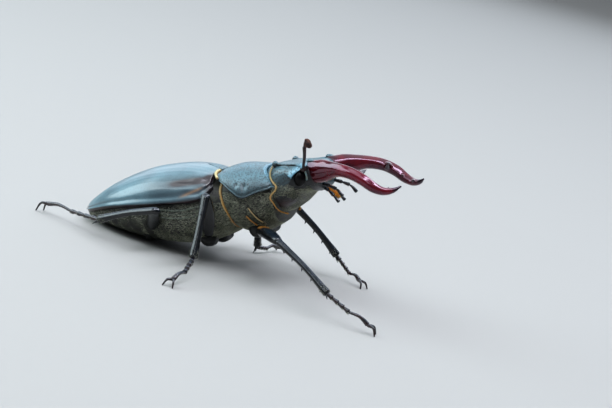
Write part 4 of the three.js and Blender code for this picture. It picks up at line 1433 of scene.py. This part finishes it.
def shade_under_shelf(points):
    """How much painted shade blackens the eye's socket under the shelf and the cheek in front of it."""
    above, _ = shelf_edge(points)
    x, y, z = points.T
    side = smooth(3.0, 4.0, np.abs(y))
    socket = smooth(1.9, 2.6, x) * side * smooth(-2.0, -1.1, z) * smooth(3.6, 2.9, z)
    cheek = smooth(4.3, 4.7, x) * side * smooth(-1.2, -0.3, z) * smooth(3.7, 3.3, z)
    return np.clip(socket * smooth(0.03, -0.05, above) + cheek, 0.0, 1.0)


def ruddy(points):
    """How much of the smooth dark red patch low on the cheek shows."""
    x, y, z = points.T
    low = hump(x, 1.9, 1.5) * hump(np.abs(y), 4.6, 1.3) * hump(z, -2.3, 0.7)
    return np.clip(1.2 * low, 0.0, 0.9)


def membrane_form(side):
    """The bare skin that shows between the eye and the jaw."""
    path = [mirrored(p, side) for p in JAW_JOINT]
    return tube(
        path, lambda t: (0.13 + 0.03 * np.sin(9 * t), 0.13 + 0 * t), sides=20, steps=26, ends=(1, 1)
    )


def labrum_form():
    """The lip between the jaws, with a shallow furrow down its middle."""
    start, end, half = LABRUM["from"], LABRUM["to"], LABRUM["half_width"]
    top, bottom = LABRUM["top"], LABRUM["bottom"]
    middle = (top + bottom) / 2
    plate = (
        (start, half, top, middle, bottom - 0.5, 3, 3),
        (mix(start, end, 0.6), half * 0.95, top - 0.1, middle, bottom, 3, 3),
        (end, half * 0.6, top - 0.35, middle, bottom + 0.15, 2.5, 2.5),
    )

    def furrow(rings, turn):
        return -0.1 * hump(rings[..., 1], 0, 0.3) * np.maximum(np.sin(turn), 0)

    return body(plate, rows=30, sides=48, relief=furrow)


def eye_form(side):
    long, wide, high = EYE["size"]
    return mirror_form(ball(EYE["centre"], (long * 0.88, wide, high * 0.96), sides=56), side)


JAW_PATH = [station[:3] for station in MANDIBLE]
JAW_SIZES = [station[3:] for station in MANDIBLE]
JAW_POINTS = 240  # how many points stand for the jaw's line when the nearest one is looked up


def mandible_form(side):
    """A jaw: a curved horn with a keel along its top, and its teeth."""

    def keel(t, turn):
        degrees = np.degrees(turn)
        top = 0.16 * hump(degrees, 82.0, 20.0) * smooth(0.05, 0.2, t) * smooth(0.8, 0.55, t)
        return top + 0.1 * hump(degrees, 180.0, 24.0) * smooth(0.35, 0.5, t) * smooth(0.95, 0.8, t)

    horn = tube(
        JAW_PATH, lambda t: along(JAW_SIZES, t).T, sides=56, steps=110, ends=(0.35, 1.0), relief=keel
    )
    teeth = [
        thorn(tooth["root"], tooth["tip"], tooth["radius"], sides=24, steps=18) for tooth in MANDIBLE_TEETH
    ]
    return mirror_form(joined([horn, *teeth]), side)


def jaw_darkness(points):
    """How black the jaw is: at its point, on its teeth and at its hinge."""
    t = np.linspace(0, 1, JAW_POINTS)
    line = on_path(JAW_PATH, t)
    on_left = np.column_stack((points[:, 0], np.abs(points[:, 1]), points[:, 2]))
    gaps = np.linalg.norm(on_left[:, None] - line[None], axis=-1)
    nearest = gaps.argmin(axis=1)
    size = along(JAW_SIZES, t[nearest]).max(axis=1)
    outside = gaps.min(axis=1) / size
    tip = smooth(0.8, 0.93, t[nearest])
    tooth = smooth(1.15, 1.5, outside) * smooth(0.4, 0.5, t[nearest])
    hinge = smooth(0.17, 0.04, t[nearest])
    return np.clip(tip + tooth + 0.8 * hinge, 0, 1)


def palp_form(path, radius, side):
    """A jointed feeler: each joint widens outward, and the last is a small club."""

    def radius_at(t):
        index = np.clip(np.searchsorted(PALP_JOINTS, t, side="right") - 1, 0, len(PALP_JOINTS) - 2)
        low, high = np.take(PALP_JOINTS, index), np.take(PALP_JOINTS, index + 1)
        share = (t - low) / (high - low)
        waist = 1 - 0.5 * np.exp(-share * 9) * (index > 0)
        r = radius * (0.62 + 0.42 * share) * waist
        return r, r

    return mirror_form(tube(path, radius_at, sides=20, steps=60, ends=(0.2, 0.8)), side)


def galea_form():
    """The stems that carry the mouth's brushes."""
    start, end = (np.array(MOUTH_BRUSH[key]) for key in ("from", "to"))
    forms = []
    for side in SIDES.values():
        root = start + (0.1, side * 0.42, 0)
        tip = mix(start, end, 0.62) + (0, side * 0.36, 0)
        path = (root, mix(root, tip, 0.5), tip)
        forms.append(tube(path, lambda t: (0.2 - 0.08 * t, 0.18 - 0.08 * t), sides=18, steps=20))
    return joined(forms)


def antenna_forms(name):
    """An antenna's long first joint, its string of beads and its club of leaves."""
    base, elbow, end = (np.array(p) for p in ANTENNAE[name])
    thin, thick = ANTENNA["stalk"]
    stem = ANTENNA["stem"]
    knee = mix(elbow, end, 0.02)
    bowed = between(base, elbow, 0.5) + (0.1, 0.0, 0.12)
    scape = joined([
        ball(base, (0.42, 0.42, 0.42)),
        tube(
            (base, bowed, elbow),
            lambda t: (mix(thin, thick, t**1.4),) * 2,
            sides=24,
            steps=40,
            ends=(0.5, 0.8),
        ),
    ])
    middle = mix(elbow, end, 0.5)
    beads, count = [], ANTENNA["beads"]
    for k in range(count):
        a, b = mix(knee, middle, k / count), mix(knee, middle, (k + 1.05) / count)
        size = stem * (0.86 + 0.04 * k)
        bead = tube(
            (a, b), lambda t: (size * (0.55 + 0.45 * t**0.7),) * 2, sides=18, steps=14, ends=(0.3, 0.6)
        )
        beads.append(bead)
    way = unit(np.array(ANTENNA["leaf_way"]))
    stalk = unit(end - elbow)
    square = np.cross(stalk, way)

    def leaf_radii(t):
        return 0.15 + 0 * t, 0.22 + 0.18 * np.sin(math.pi * t**0.8)

    leaves = [tube((middle, end), lambda t: (stem * 0.75,) * 2, sides=18, steps=14)]
    count = ANTENNA["leaves"]
    for k in range(count):
        root = mix(middle, end, (k + 0.6) / (count + 0.1))
        reach = ANTENNA["leaf"] * (0.7 + 0.45 * math.sin(math.pi * (k + 0.8) / count))
        bend = root + way * reach * 0.55 + stalk * 0.05
        tip = root + way * reach + stalk * 0.02
        leaves.append(tube((root - way * 0.12, bend, tip), leaf_radii, sides=20, steps=24, up=square))
    return scape, joined(beads), joined(leaves)


# ---------------------------------------------------------------- legs


def coxa_form(leg, pair):
    """The hip: a short bar from under the body out to the thigh."""
    coxa = np.array(leg[0])
    side = np.sign(coxa[1])
    start, end, rise, size = COXA[pair]
    bar = ((coxa[0], side * start, coxa[2]), coxa, (coxa[0] + 0.3, side * end, coxa[2] + rise))
    return tube(bar, lambda t: (size[0] + 0 * t, size[1] + 0 * t), sides=40, steps=30, ends=(0.8, 0.8))


def femur_path(leg):
    """The thigh's middle line, from near the hip to just past the knee."""
    hip = between(leg[0], leg[1], 0.1)
    return hip, between(hip, leg[1], 0.5, 0.25), between(hip, leg[1], 1.03)


def femur_radii(t):
    swell = np.sin(math.pi * np.minimum(t * 1.05, 1.0)) ** 0.7
    return [mix(end, middle, swell) for end, middle in zip(FEMUR["ends"], FEMUR["middle"])]


def femur_form(leg):
    """The thigh, with a collar at the hip."""
    path = femur_path(leg)
    thigh = tube(path, femur_radii, sides=40, steps=60, ends=(0.8, 0.7))
    neck = (path[0], mix(path[0], path[1], 0.3))
    collar = tube(neck, lambda t: (0.72 - 0.1 * t, 0.62 - 0.1 * t), sides=28, steps=14, ends=(0.5, 0.5))
    return joined([thigh, collar])


def tibia_path(leg):
    """The shin's middle line, slightly bowed."""
    knee, ankle = leg[1], leg[2]
    return between(knee, ankle, -0.02), between(knee, ankle, 0.5, TIBIA["bow"]), np.array(ankle)


def tibia_radii(t):
    stations = [[TIBIA[place]] for place in ("knee", "middle", "middle", "ankle")]
    thickness = along(stations, t)[:, 0]
    return thickness, thickness * 0.88


def leg_ways(leg):
    """Unit directions along the shin, outward from it and downward from it."""
    side = np.sign(leg[0][1])
    foot = unit(np.array(leg[2]) - np.array(leg[1]))
    outward = unit(np.array((0.0, side, 0.0)) - foot * foot[1] * side)
    downward = unit(np.array((0.0, 0.0, -1.0)) + foot * foot[2])
    return foot, outward, downward


def tibia_form(leg, pair):
    """The shin: a ribbed rod with thorns along one edge and two spurs at its end."""
    path = tibia_path(leg)
    foot, outward, downward = leg_ways(leg)

    def ribs(t, turn):
        return 0.035 * np.cos(turn * 4) + 0 * t

    forms = [tube(path, tibia_radii, sides=32, steps=70, ends=(0.9, 0.5), relief=ribs)]
    edge = downward if pair == "front" else outward
    count, length, radius = THORNS[pair]
    for k in range(count):
        t = mix(0.3, 0.86, k / (count - 1)) if count > 1 else 0.58
        root = on_path(path, t)[0]
        forms.append(thorn(root, root + edge * (TIBIA["middle"] + length) + foot * 0.45, radius))
    root = on_path(path, 0.95)[0]
    for turn in (-1, 1):
        tip = root + foot * SPUR["length"] + downward * 0.5 + outward * 0.5 * turn
        forms.append(thorn(root, tip, SPUR["radius"], bend=foot * 0.06))
    return joined(forms)


def tarsus_paths(leg):
    """The middle lines of the foot's short joints and of its long last one."""
    ankle, pads, wrist = leg[2:]
    chain = (between(ankle, pads, -0.03), between(ankle, pads, 0.5), np.array(pads))
    arch = (np.array(pads), between(pads, wrist, 0.55, TARSUS["arch"]), np.array(wrist))
    return chain, arch


def pad_radii(t):
    thin, wide = TARSUS["thin"], TARSUS["wide"]
    return mix(thin, wide, t**1.2), mix(thin, wide * 0.9, t**1.2)


def last_joint_radii(t):
    r = mix(*TARSUS["last"], t**1.5)
    return r, r * 0.9


def claw_radii(t):
    r = mix(*CLAW["radii"], t)
    return r, r


def sole_radii(t):
    return TARSUS["wide"] * 0.7 + 0 * t, TARSUS["wide"] * 0.6 + 0 * t


def tarsus_form(leg):
    """The foot: short joints that widen forward, a long arched one, and two claws down to the floor."""
    chain, arch = tarsus_paths(leg)
    forms, count = [], TARSUS["joints"]
    for k in range(count):
        path = on_path(chain, np.linspace((k - 0.04) / count, (k + 1.0) / count, 3))
        forms.append(tube(path, pad_radii, sides=22, steps=18, ends=(0.5, 0.45)))
    forms.append(tube(arch, last_joint_radii, sides=24, steps=34, ends=(0.5, 0.7)))
    wrist, pads = arch[2], arch[0]
    ahead = unit((wrist - pads) * (1, 1, 0))
    across = np.array((-ahead[1], ahead[0], 0.0))
    for turn in (-1, 1):
        angle = math.radians(CLAW["spread"]) * turn
        way = ahead * math.cos(angle) + across * math.sin(angle)
        bend = wrist + way * CLAW["length"] * 0.62
        bend[2] = wrist[2] * 0.92
        tip = wrist + way * CLAW["length"]
        tip[2] = 0.03
        path = (wrist - ahead * 0.1 + across * 0.1 * turn, bend, tip)
        forms.append(tube(path, claw_radii, sides=18, steps=30, ends=(0.5, 1.5)))
    return joined(forms)


# ---------------------------------------------------------------- hair of each region

# The hair round the neck, on the head's right, from its back to its throat.
FRONT_FRINGE = (
    (-0.85, -4.0, 2.75),
    (-0.86, -5.0, 1.9),
    (-0.5, -5.5, 1.1),
    (0.0, -5.8, 0.6),
    (0.5, -6.05, 0.25),
    (0.45, -6.0, -0.3),
    (-0.2, -5.95, -1.2),
    (-0.3, -5.8, -1.7),
    (0.0, -5.5, -2.2),
    (0.35, -4.8, -3.0),
    (0.7, -4.0, -3.5),
    (1.1, -3.0, -3.8),
    (1.3, -2.4, -3.9),
)
WAIST_TURNS = (140, 268)  # degrees round the forebody between which its rear fringe runs


def thorax_down(rng, coat_sizes):
    """Down on the breast and flanks of the middle body, thickest low on the sides."""
    length, width = coat_sizes.down_length / MM, coat_sizes.hair_width / MM
    front, back = share_at(HINDBODY, 2.6), share_at(HINDBODY, ABDOMEN_FRONT + 0.3)

    def off_seams(points):
        return 1.0 - 0.9 * seam_mark(points)

    return [down(rng, HINDBODY, "middle_body", length, width, (back, front), keep=off_seams)]


def belly_down(rng, coat_sizes):
    """Shorter down on the plates of the belly."""
    length, width = coat_sizes.down_length / MM * 0.8, coat_sizes.hair_width / MM
    front = share_at(HINDBODY, ABDOMEN_FRONT - 0.3)
    return [down(rng, HINDBODY, "belly", length, width, (0.06, front))]


def forebody_down(rng, coat_sizes):
    """Down under and beside the forebody, below its shield."""
    length, width = coat_sizes.down_length / MM, coat_sizes.hair_width / MM
    return [down(rng, PROSTERNUM, "forebody", length, width, (0.05, 0.99))]


def head_down(rng, coat_sizes):
    """Down on the cheeks and throat, thin over the smooth red patch and round the eye."""
    length, width = coat_sizes.down_length / MM * 0.85, coat_sizes.hair_width / MM
    front, back = share_at(HEAD, 5.2), share_at(HEAD, -1.0)
    eye_x, _, eye_z = EYE["centre"]

    def off_bare_places(points):
        x, _, z = points.T
        near_eye = smooth(1.35, 1.0, np.hypot((x - eye_x) / 1.1, (z - eye_z) / 1.4))
        high = smooth(-0.2, 0.9, z)
        return (1.0 - np.clip(ruddy(points) * 1.6, 0, 0.95)) * (1.0 - near_eye) * (1.0 - high)

    return [down(rng, HEAD, "head", length, width, (back, front), -1.0, off_bare_places)]


def within(stations, points):
    """Whether points lie inside a body."""
    steps = FINE_STEPS[::2]
    t = np.interp(points[:, 0], along(stations, steps)[:, 0], steps)
    _, w, top, middle, low, above, below = along(stations, t).T
    rise = points[:, 2] - middle
    power = np.where(rise >= 0, above, below)
    height = np.where(rise >= 0, top - middle, middle - low)
    filled = np.abs(points[:, 1] / w) ** power + np.abs(rise / height) ** power
    return (filled < 1) & (points[:, 0] < stations[-1][0])


def waist_seam():
    """Where the forebody's skin goes into the middle body, on its right."""
    points = []
    t = np.linspace(1.0, 0.0, 400)  # from the forebody's front to its rear
    for turn in np.radians(np.linspace(*WAIST_TURNS, 17)):
        skin_points = section(PROSTERNUM, t, np.full(len(t), turn))
        hidden = within(HINDBODY, to_part("hindbody", to_row("prothorax", skin_points)))
        first_hidden = int(hidden.argmax()) if hidden.any() else len(t) - 1
        points.append(skin_points[first_hidden])
    return np.array(points)


def rear_fringes(rng, coat_sizes):
    """Hair behind the forebody: pale over its shield's rear edge and golden down both flanks."""
    length, width = coat_sizes.fringe_length / MM, coat_sizes.hair_width / MM
    share = np.sin(np.linspace(-1, 1, 21) * math.pi / 2) * 0.97
    over = shield_skin(PRONOTUM[0], share) + (-0.12, 0.0, 0.1)
    tufts = [fringe(rng, over, "shield", length * 1.25, width)]
    seam = waist_seam() * (1.0, 1.012, 1.012) + (0.06, 0.0, 0.0)
    for side in SIDES.values():
        tufts.append(fringe(rng, [mirrored(p, -side) for p in seam], "waist", length, width))
    return tufts


def front_fringes(rng, coat_sizes):
    """Hair round the head's neck: pale above and golden below."""
    length, width = coat_sizes.fringe_length / MM * 0.8, coat_sizes.hair_width / MM
    paths = [[mirrored(p, -side) for p in FRONT_FRINGE] for side in SIDES.values()]
    return [fringe(rng, path, "neck", length, width) for path in paths]


def hip_fringes(rng, coat_sizes):
    """Thin hair along the two seams over each front hip, pale on one and golden on the other."""
    length, width = coat_sizes.fringe_length / MM * 0.6, coat_sizes.hair_width / MM
    tufts = []
    for (start, end), kind in zip(COXAL_SEAMS, ("outer_hip_seam", "inner_hip_seam")):
        t = np.array([share_at(PROSTERNUM, x) for x in np.linspace(start[0], end[0], 6)])
        turn = np.radians(np.linspace(start[1], end[1], 6))
        path = section(PROSTERNUM, t, turn) * (1.0, 1.025, 1.025)
        for side in SIDES.values():
            tufts.append(fringe(rng, [mirrored(p, -side) for p in path], kind, length, width))
    return tufts


def mouth_hair(rng, coat_sizes):
    """Two orange brushes that hang forward from the mouth."""
    start, end = (np.array(MOUTH_BRUSH[key]) for key in ("from", "to"))
    long, width = coat_sizes.brush_length / MM, coat_sizes.hair_width / MM * 1.6
    count = BRUSH_HAIRS
    tufts = []
    for side in SIDES.values():
        t = rng.uniform(0.2, 0.85, count)
        roots = mix(start, end, t[:, None]) + (0, side * 0.4, 0) + rng.normal(0, 0.12, (count, 3))
        ways = unit(end - start) + rng.normal(0, 0.14, (count, 3))
        normals = unit(rng.normal(0, 1, (count, 3)))
        room = (1.0 - t) * np.linalg.norm(end - start) + 0.1
        lengths = np.minimum(long * rng.uniform(0.5, 1.0, count), room)
        blades = hair_points(roots, ways, normals, lengths, width, LIFT["brush"])
        places = np.stack((mix(0.05, 0.95, t), np.full(count, 0.5 + 0.25 * side)), axis=-1)
        tufts.append((blades, places, rng.random(count)))
    return tufts


def limb_down(rng, path, radii, kind, length, width, t_span, row):
    """Short hair along a stretch of a limb. Row is its place on the unwrap."""
    count, turn_span, pale = LIMB_HAIR[kind]
    t = rng.uniform(*t_span, count)
    turn = np.radians(rng.uniform(*turn_span, count))
    centre = on_path(path, t)
    ahead = ahead_on(path, t)
    across = unit(np.cross(np.broadcast_to((0.0, 0.0, 1.0), ahead.shape), ahead))
    over = np.cross(ahead, across)
    wide, high = radii(t)
    out = across * np.cos(turn)[:, None] + over * np.sin(turn)[:, None]
    roots = centre + across * (wide * np.cos(turn))[:, None] + over * (high * np.sin(turn))[:, None]
    ways = ahead + rng.normal(0, 0.25, ahead.shape)
    lengths = length * rng.uniform(0.6, 1.1, count)
    blades = hair_points(roots, ways, out, lengths, width, LIFT["limb"])
    places = np.stack((mix(*UNWRAP, t), row + 0.1 * (turn / (2 * math.pi) % 1.0)), axis=-1)
    return blades, places, np.clip(rng.normal(pale, 0.15, count), 0.0, 1.0)


def thigh_spots(rng, coat_sizes):
    """The golden spot on top of each front thigh, next to the hip."""
    length, width = coat_sizes.down_length / MM * 1.3, coat_sizes.hair_width / MM * 1.3
    tufts = []
    for side in SIDES:
        path = femur_path(LEGS[f"{side}_front"])
        row = 0.1 if side == "left" else 0.9
        tufts.append(limb_down(rng, path, femur_radii, "thigh", length, width, (0.02, 0.22), row))
    return tufts


def leg_hair(rng, coat_sizes):
    """Short dull hair at the shins' ends and on the feet's soles."""
    length, width = coat_sizes.down_length / MM, coat_sizes.hair_width / MM
    joints = TARSUS["joints"]
    tufts = []
    for index, leg in enumerate(LEGS.values()):
        row = 0.05 + 0.15 * index
        shin = tibia_path(leg)
        tufts.append(limb_down(rng, shin, tibia_radii, "shin", length * 0.9, width, (0.86, 0.98), row))
        chain, _ = tarsus_paths(leg)
        for k in range(joints):
            span = ((k + 0.6) / joints, (k + 0.98) / joints)
            tufts.append(limb_down(rng, chain, sole_radii, "sole", length, width, span, row))
    return tufts


# ---------------------------------------------------------------- operators


class BEETLE_OT_wing_cases(bpy.types.Operator):
    """Builds both wing cases and the small shield between them"""

    bl_idname = "beetle.wing_cases"
    bl_label = "Wing Cases"

    def execute(self, context):
        case = finish(polished_wing_case, context)
        for name, side in SIDES.items():
            form, node = elytron_form(side), f"elytron_{name}"
            marks = {"maroon": maroon, "tan": tan}
            show(f"wing_case_{name}", "hindbody", form, case, (node,), marks=marks)
        plate = finish(punctured_plate, context)
        show("wing_case_shield", "hindbody", scutellum_form(), plate, ("scutellum",))
        return {"FINISHED"}


class BEETLE_OT_forebody(bpy.types.Operator):
    """Builds the shield and the underside of the forebody"""

    bl_idname = "beetle.forebody"
    bl_label = "Forebody"

    def execute(self, context):
        plate, marks = finish(punctured_plate, context), {"rim": shield_rim_highlight}
        shield = pronotum_form()
        show("forebody_shield", "prothorax", shield, plate, ("pronotum",), marks=marks)
        belly = finish(downy_belly, context)
        breast = body(PROSTERNUM, rows=110, sides=140, relief=prosternum_relief)
        show("forebody_breast", "prothorax", breast, belly, ("prosternum",))
        return {"FINISHED"}


class BEETLE_OT_hindbody(bpy.types.Operator):
    """Builds the breast and belly under the wing cases"""

    bl_idname = "beetle.hindbody"
    bl_label = "Breast and Belly"

    def execute(self, context):
        look = finish(downy_belly, context)
        cut = share_at(HINDBODY, ABDOMEN_FRONT)
        span = (cut + BELLY_GAP, 1.0)
        breast = body(HINDBODY, rows=200, sides=300, relief=hindbody_relief, span=span)
        marks = {"seam": seam_mark}
        show("middle_body", "hindbody", breast, look, ("pterothorax",), marks=marks)
        span = (0.0, cut - BELLY_GAP)
        belly = body(HINDBODY, rows=110, sides=140, relief=abdomen_relief, span=span)
        show("belly", "hindbody", belly, look, ("abdomen",))
        return {"FINISHED"}


class BEETLE_OT_head(bpy.types.Operator):
    """Builds the head with its ridges, and the lip between the jaws"""

    bl_idname = "beetle.head"
    bl_label = "Head"

    def execute(self, context):
        plate = finish(rough_head_plate, context)
        marks = {"ruddy": ruddy, "shelf": shelf_highlight, "socket": shade_under_shelf}
        skull = head_form()
        show("skull", "head", skull, plate, ("head",), HEAD_FUSE, head_features, marks)
        show("upper_lip", "head", labrum_form(), plate, ("labrum",))
        return {"FINISHED"}


class BEETLE_OT_eyes(bpy.types.Operator):
    """Builds the eyes and the bare skin at the jaws' joints"""

    bl_idname = "beetle.eyes"
    bl_label = "Eyes"

    def execute(self, context):
        facets, skin_finish = finish(faceted_eye, context), finish(soft_membrane, context)
        for name, side in SIDES.items():
            show(f"eyeball_{name}", "head", eye_form(side), facets, (f"eye_{name}",))
            show(f"jaw_joint_{name}", "head", membrane_form(side), skin_finish)
        return {"FINISHED"}


class BEETLE_OT_jaws(bpy.types.Operator):
    """Builds the jaws with their teeth"""

    bl_idname = "beetle.jaws"
    bl_label = "Jaws"

    def execute(self, context):
        polish, marks = finish(polished_jaw, context), {"dark": jaw_darkness}
        for name, side in SIDES.items():
            form, node = mandible_form(side), f"mandible_{name}"
            show(f"jaw_{name}", "head", form, polish, (node,), JAW_FUSE, marks=marks)
        return {"FINISHED"}


class BEETLE_OT_mouthparts(bpy.types.Operator):
    """Builds the mouth's feelers and brushes"""

    bl_idname = "beetle.mouthparts"
    bl_label = "Mouthparts"

    def execute(self, context):
        limb = finish(glossy_limb, context)
        for name, side in SIDES.items():
            for kind, (path, radius) in PALPS.items():
                form = palp_form(path, radius, side)
                show(f"{kind}_feeler_{name}", "head", form, limb, (f"{kind}_palp_{name}",))
        show("brush_stems", "head", galea_form(), finish(glossy_foot, context))
        rng = np.random.default_rng(11)
        hair = mouth_hair(rng, context.scene.beetle_coat)
        coat("brush_hair", "head", hair, finish(orange_brush, context), ("mouth_brush",))
        return {"FINISHED"}


class BEETLE_OT_antennae(bpy.types.Operator):
    """Builds the elbowed antennae and their leaved clubs"""

    bl_idname = "beetle.antennae"
    bl_label = "Antennae"

    def execute(self, context):
        stem, leaf = finish(antenna_stem, context), finish(antenna_club, context)
        parts, looks = ("scape", "funicle", "club"), (stem, stem, leaf)
        for name in ANTENNAE:
            for part, form, look in zip(parts, antenna_forms(name), looks):
                node = f"antenna_{name}_{part}"
                show(f"{node}_shown", "head", form, look, (node,))
        return {"FINISHED"}


class BEETLE_OT_legs(bpy.types.Operator):
    """Builds the legs"""

    bl_idname = "beetle.legs"
    bl_label = "Legs"

    def execute(self, context):
        limb, foot, hip = (finish(maker, context) for maker in (glossy_limb, glossy_foot, dull_hip))
        for name, leg in LEGS.items():
            pair = name.split("_")[1]
            for part, form, look in (
                ("coxa", coxa_form(leg, pair), hip),
                ("femur", femur_form(leg), limb),
                ("tibia", tibia_form(leg, pair), limb),
            ):
                node = f"leg_{name}_{part}"
                show(f"{node}_shown", "legs", form, look, (node,))
            node = f"leg_{name}_tarsus"
            show(f"{node}_shown", "legs", tarsus_form(leg), foot, (node,))
        return {"FINISHED"}


class BEETLE_OT_coat(bpy.types.Operator):
    """Lays the short down and sets the golden fringes"""

    bl_idname = "beetle.coat"
    bl_label = "Down and Fringes"

    def execute(self, context):
        sizes = context.scene.beetle_coat
        pile, gold = finish(short_down, context), finish(golden_fringe, context)
        rng = np.random.default_rng(7)
        coat("down_middle_body", "hindbody", thorax_down(rng, sizes), pile)
        coat("down_belly", "hindbody", belly_down(rng, sizes), pile)
        coat("down_forebody", "prothorax", forebody_down(rng, sizes), pile)
        coat("down_head", "head", head_down(rng, sizes), pile)
        coat("fringe_rear", "prothorax", rear_fringes(rng, sizes), gold)
        coat("fringe_front", "head", front_fringes(rng, sizes), gold)
        coat("fringe_hips", "prothorax", hip_fringes(rng, sizes), gold)
        coat("spots_thighs", "legs", thigh_spots(rng, sizes), gold)
        coat("hair_legs", "legs", leg_hair(rng, sizes), pile)
        return {"FINISHED"}


# ---------------------------------------------------------------- studio

FRAME_OFFSET = (11.59, -5.36)  # millimetres from the hips to the frame's middle, to the right and up
HIPS = np.array((0.0, 0.0, 13.5)) + TO_ROW
CLIP = (0.01, 20.0)  # metres from the camera: the nearest and farthest things that it shows
FLOOR_REACH = 4.0  # metres from the beetle to the floor's edges
LIT_POINT = Vector((0, 0, 0.01))  # metres: the middle of the beetle, which the lights face
ROOM_COLOUR = "#dfe7f0"
# The soft lights: place and size in metres, and colour. The studio's settings hold their powers.
SOFTBOXES = {
    "overhead": ((-0.05, 0.1, 0.42), (0.6, 0.4), "#f0f7fb"),
    "key": ((0.1, -0.03, 0.44), (0.7, 0.06), "#f0f2ff"),
    "left": ((-0.4, -0.1, 0.24), (0.42, 0.28), "#e6f6fa"),
    "back": ((-0.06, 0.44, 0.26), (0.9, 0.4), "#e8f2ff"),
    "front": ((-0.1, -0.24, 0.38), (0.5, 0.22), "#f0f7fb"),
}


def camera_axes(studio):
    """Unit vectors to the right, up and back of the rolled camera."""
    azimuth, elevation, roll = studio.azimuth, studio.elevation, studio.roll
    level = math.cos(elevation)
    back = Vector((math.sin(azimuth) * level, -math.cos(azimuth) * level, math.sin(elevation)))
    right = Vector((math.cos(azimuth), math.sin(azimuth), 0.0))
    up = back.cross(right)
    rolled_right = right * math.cos(roll) + up * math.sin(roll)
    rolled_up = up * math.cos(roll) - right * math.sin(roll)
    return rolled_right, rolled_up, back


def place_camera(studio):
    """Sets the camera at its distance from the hips, with the frame's middle where it belongs."""
    right, up, back = camera_axes(studio)
    camera = bpy.data.objects.new("camera", bpy.data.cameras.new("camera"))
    bpy.context.scene.collection.objects.link(camera)
    aim = Vector(HIPS * MM) + right * FRAME_OFFSET[0] * MM + up * FRAME_OFFSET[1] * MM
    stand = Matrix.Translation(aim + back * studio.distance)
    camera.matrix_world = stand @ Matrix((right, up, back)).transposed().to_4x4()
    camera.data.lens = studio.lens
    camera.data.clip_start, camera.data.clip_end = CLIP
    camera.data.dof.use_dof = False
    bpy.context.scene.camera = camera


def softbox(name, place, size, power, code):
    """A large soft light that faces the beetle."""
    light = bpy.data.lights.new(name, "AREA")
    light.shape = "RECTANGLE"
    light.size, light.size_y = size
    light.energy = power
    light.color = linear(code)[:3]
    obj = bpy.data.objects.new(name, light)
    bpy.context.scene.collection.objects.link(obj)
    obj.location = place
    obj.rotation_mode = "QUATERNION"
    obj.rotation_quaternion = (LIT_POINT - Vector(place)).to_track_quat("-Z", "Y")


def light_room(context, studio):
    """An even, dim, cool light from all round, which fills the shadows."""
    world = bpy.data.worlds.new("studio")
    context.scene.world = world
    world.use_nodes = True
    tree = world.node_tree
    tree.nodes.clear()
    glow = {"Color": linear(ROOM_COLOUR), "Strength": studio.room}
    light = add_node(tree, "ShaderNodeBackground", None, glow).outputs["Background"]
    add_node(tree, "ShaderNodeOutputWorld", None, None, {"Surface": light})


class BEETLE_OT_stage(bpy.types.Operator):
    """Sets the pale floor, the soft lights and the camera"""

    bl_idname = "beetle.stage"
    bl_label = "Studio"

    def execute(self, context):
        studio = context.scene.beetle_studio
        signs = ((-1, -1), (1, -1), (1, 1), (-1, 1))
        corners = [(x * FLOOR_REACH, y * FLOOR_REACH, 0) for x, y in signs]
        mesh = bpy.data.meshes.new("floor")
        mesh.from_pydata(corners, [], [(0, 1, 2, 3)])
        floor = bpy.data.objects.new("floor", mesh)
        context.scene.collection.objects.link(floor)
        mesh.materials.append(finish(studio_paper, context))
        light_room(context, studio)
        for name, (place, size, code) in SOFTBOXES.items():
            softbox(name, place, size, getattr(studio, name), code)
        context.scene.view_settings.view_transform = "Standard"
        context.scene.view_settings.look = "Medium High Contrast"
        place_camera(studio)
        return {"FINISHED"}


class BEETLE_PT_panel(bpy.types.Panel):
    """Lists the beetle's settings and the steps that build it"""

    bl_idname = "BEETLE_PT_panel"
    bl_label = "Stag Beetle"
    bl_space_type = "VIEW_3D"
    bl_region_type = "UI"
    bl_category = "Beetle"

    def draw(self, context):
        layout = self.layout
        for step in STEPS:
            layout.operator(step.bl_idname)
        for group in (context.scene.beetle_colours, context.scene.beetle_coat, context.scene.beetle_studio):
            box = layout.box()
            for name in group.__annotations__:
                box.prop(group, name)


STEPS = (
    BEETLE_OT_wing_cases,
    BEETLE_OT_forebody,
    BEETLE_OT_hindbody,
    BEETLE_OT_head,
    BEETLE_OT_eyes,
    BEETLE_OT_jaws,
    BEETLE_OT_mouthparts,
    BEETLE_OT_antennae,
    BEETLE_OT_legs,
    BEETLE_OT_coat,
    BEETLE_OT_stage,
)
CLASSES = (BeetleColours, BeetleCoat, BeetleStudio, *STEPS, BEETLE_PT_panel)


def register():
    for cls in CLASSES:
        bpy.utils.register_class(cls)
    bpy.types.Scene.beetle_colours = bpy.props.PointerProperty(type=BeetleColours)
    bpy.types.Scene.beetle_coat = bpy.props.PointerProperty(type=BeetleCoat)
    bpy.types.Scene.beetle_studio = bpy.props.PointerProperty(type=BeetleStudio)


def unregister():
    for name in ("beetle_colours", "beetle_coat", "beetle_studio"):
        delattr(bpy.types.Scene, name)
    for cls in reversed(CLASSES):
        bpy.utils.unregister_class(cls)


def main():
    register()
    for step in STEPS:
        group, name = step.bl_idname.split(".")
        getattr(getattr(bpy.ops, group), name)()


if __name__ == "__main__":
    main()
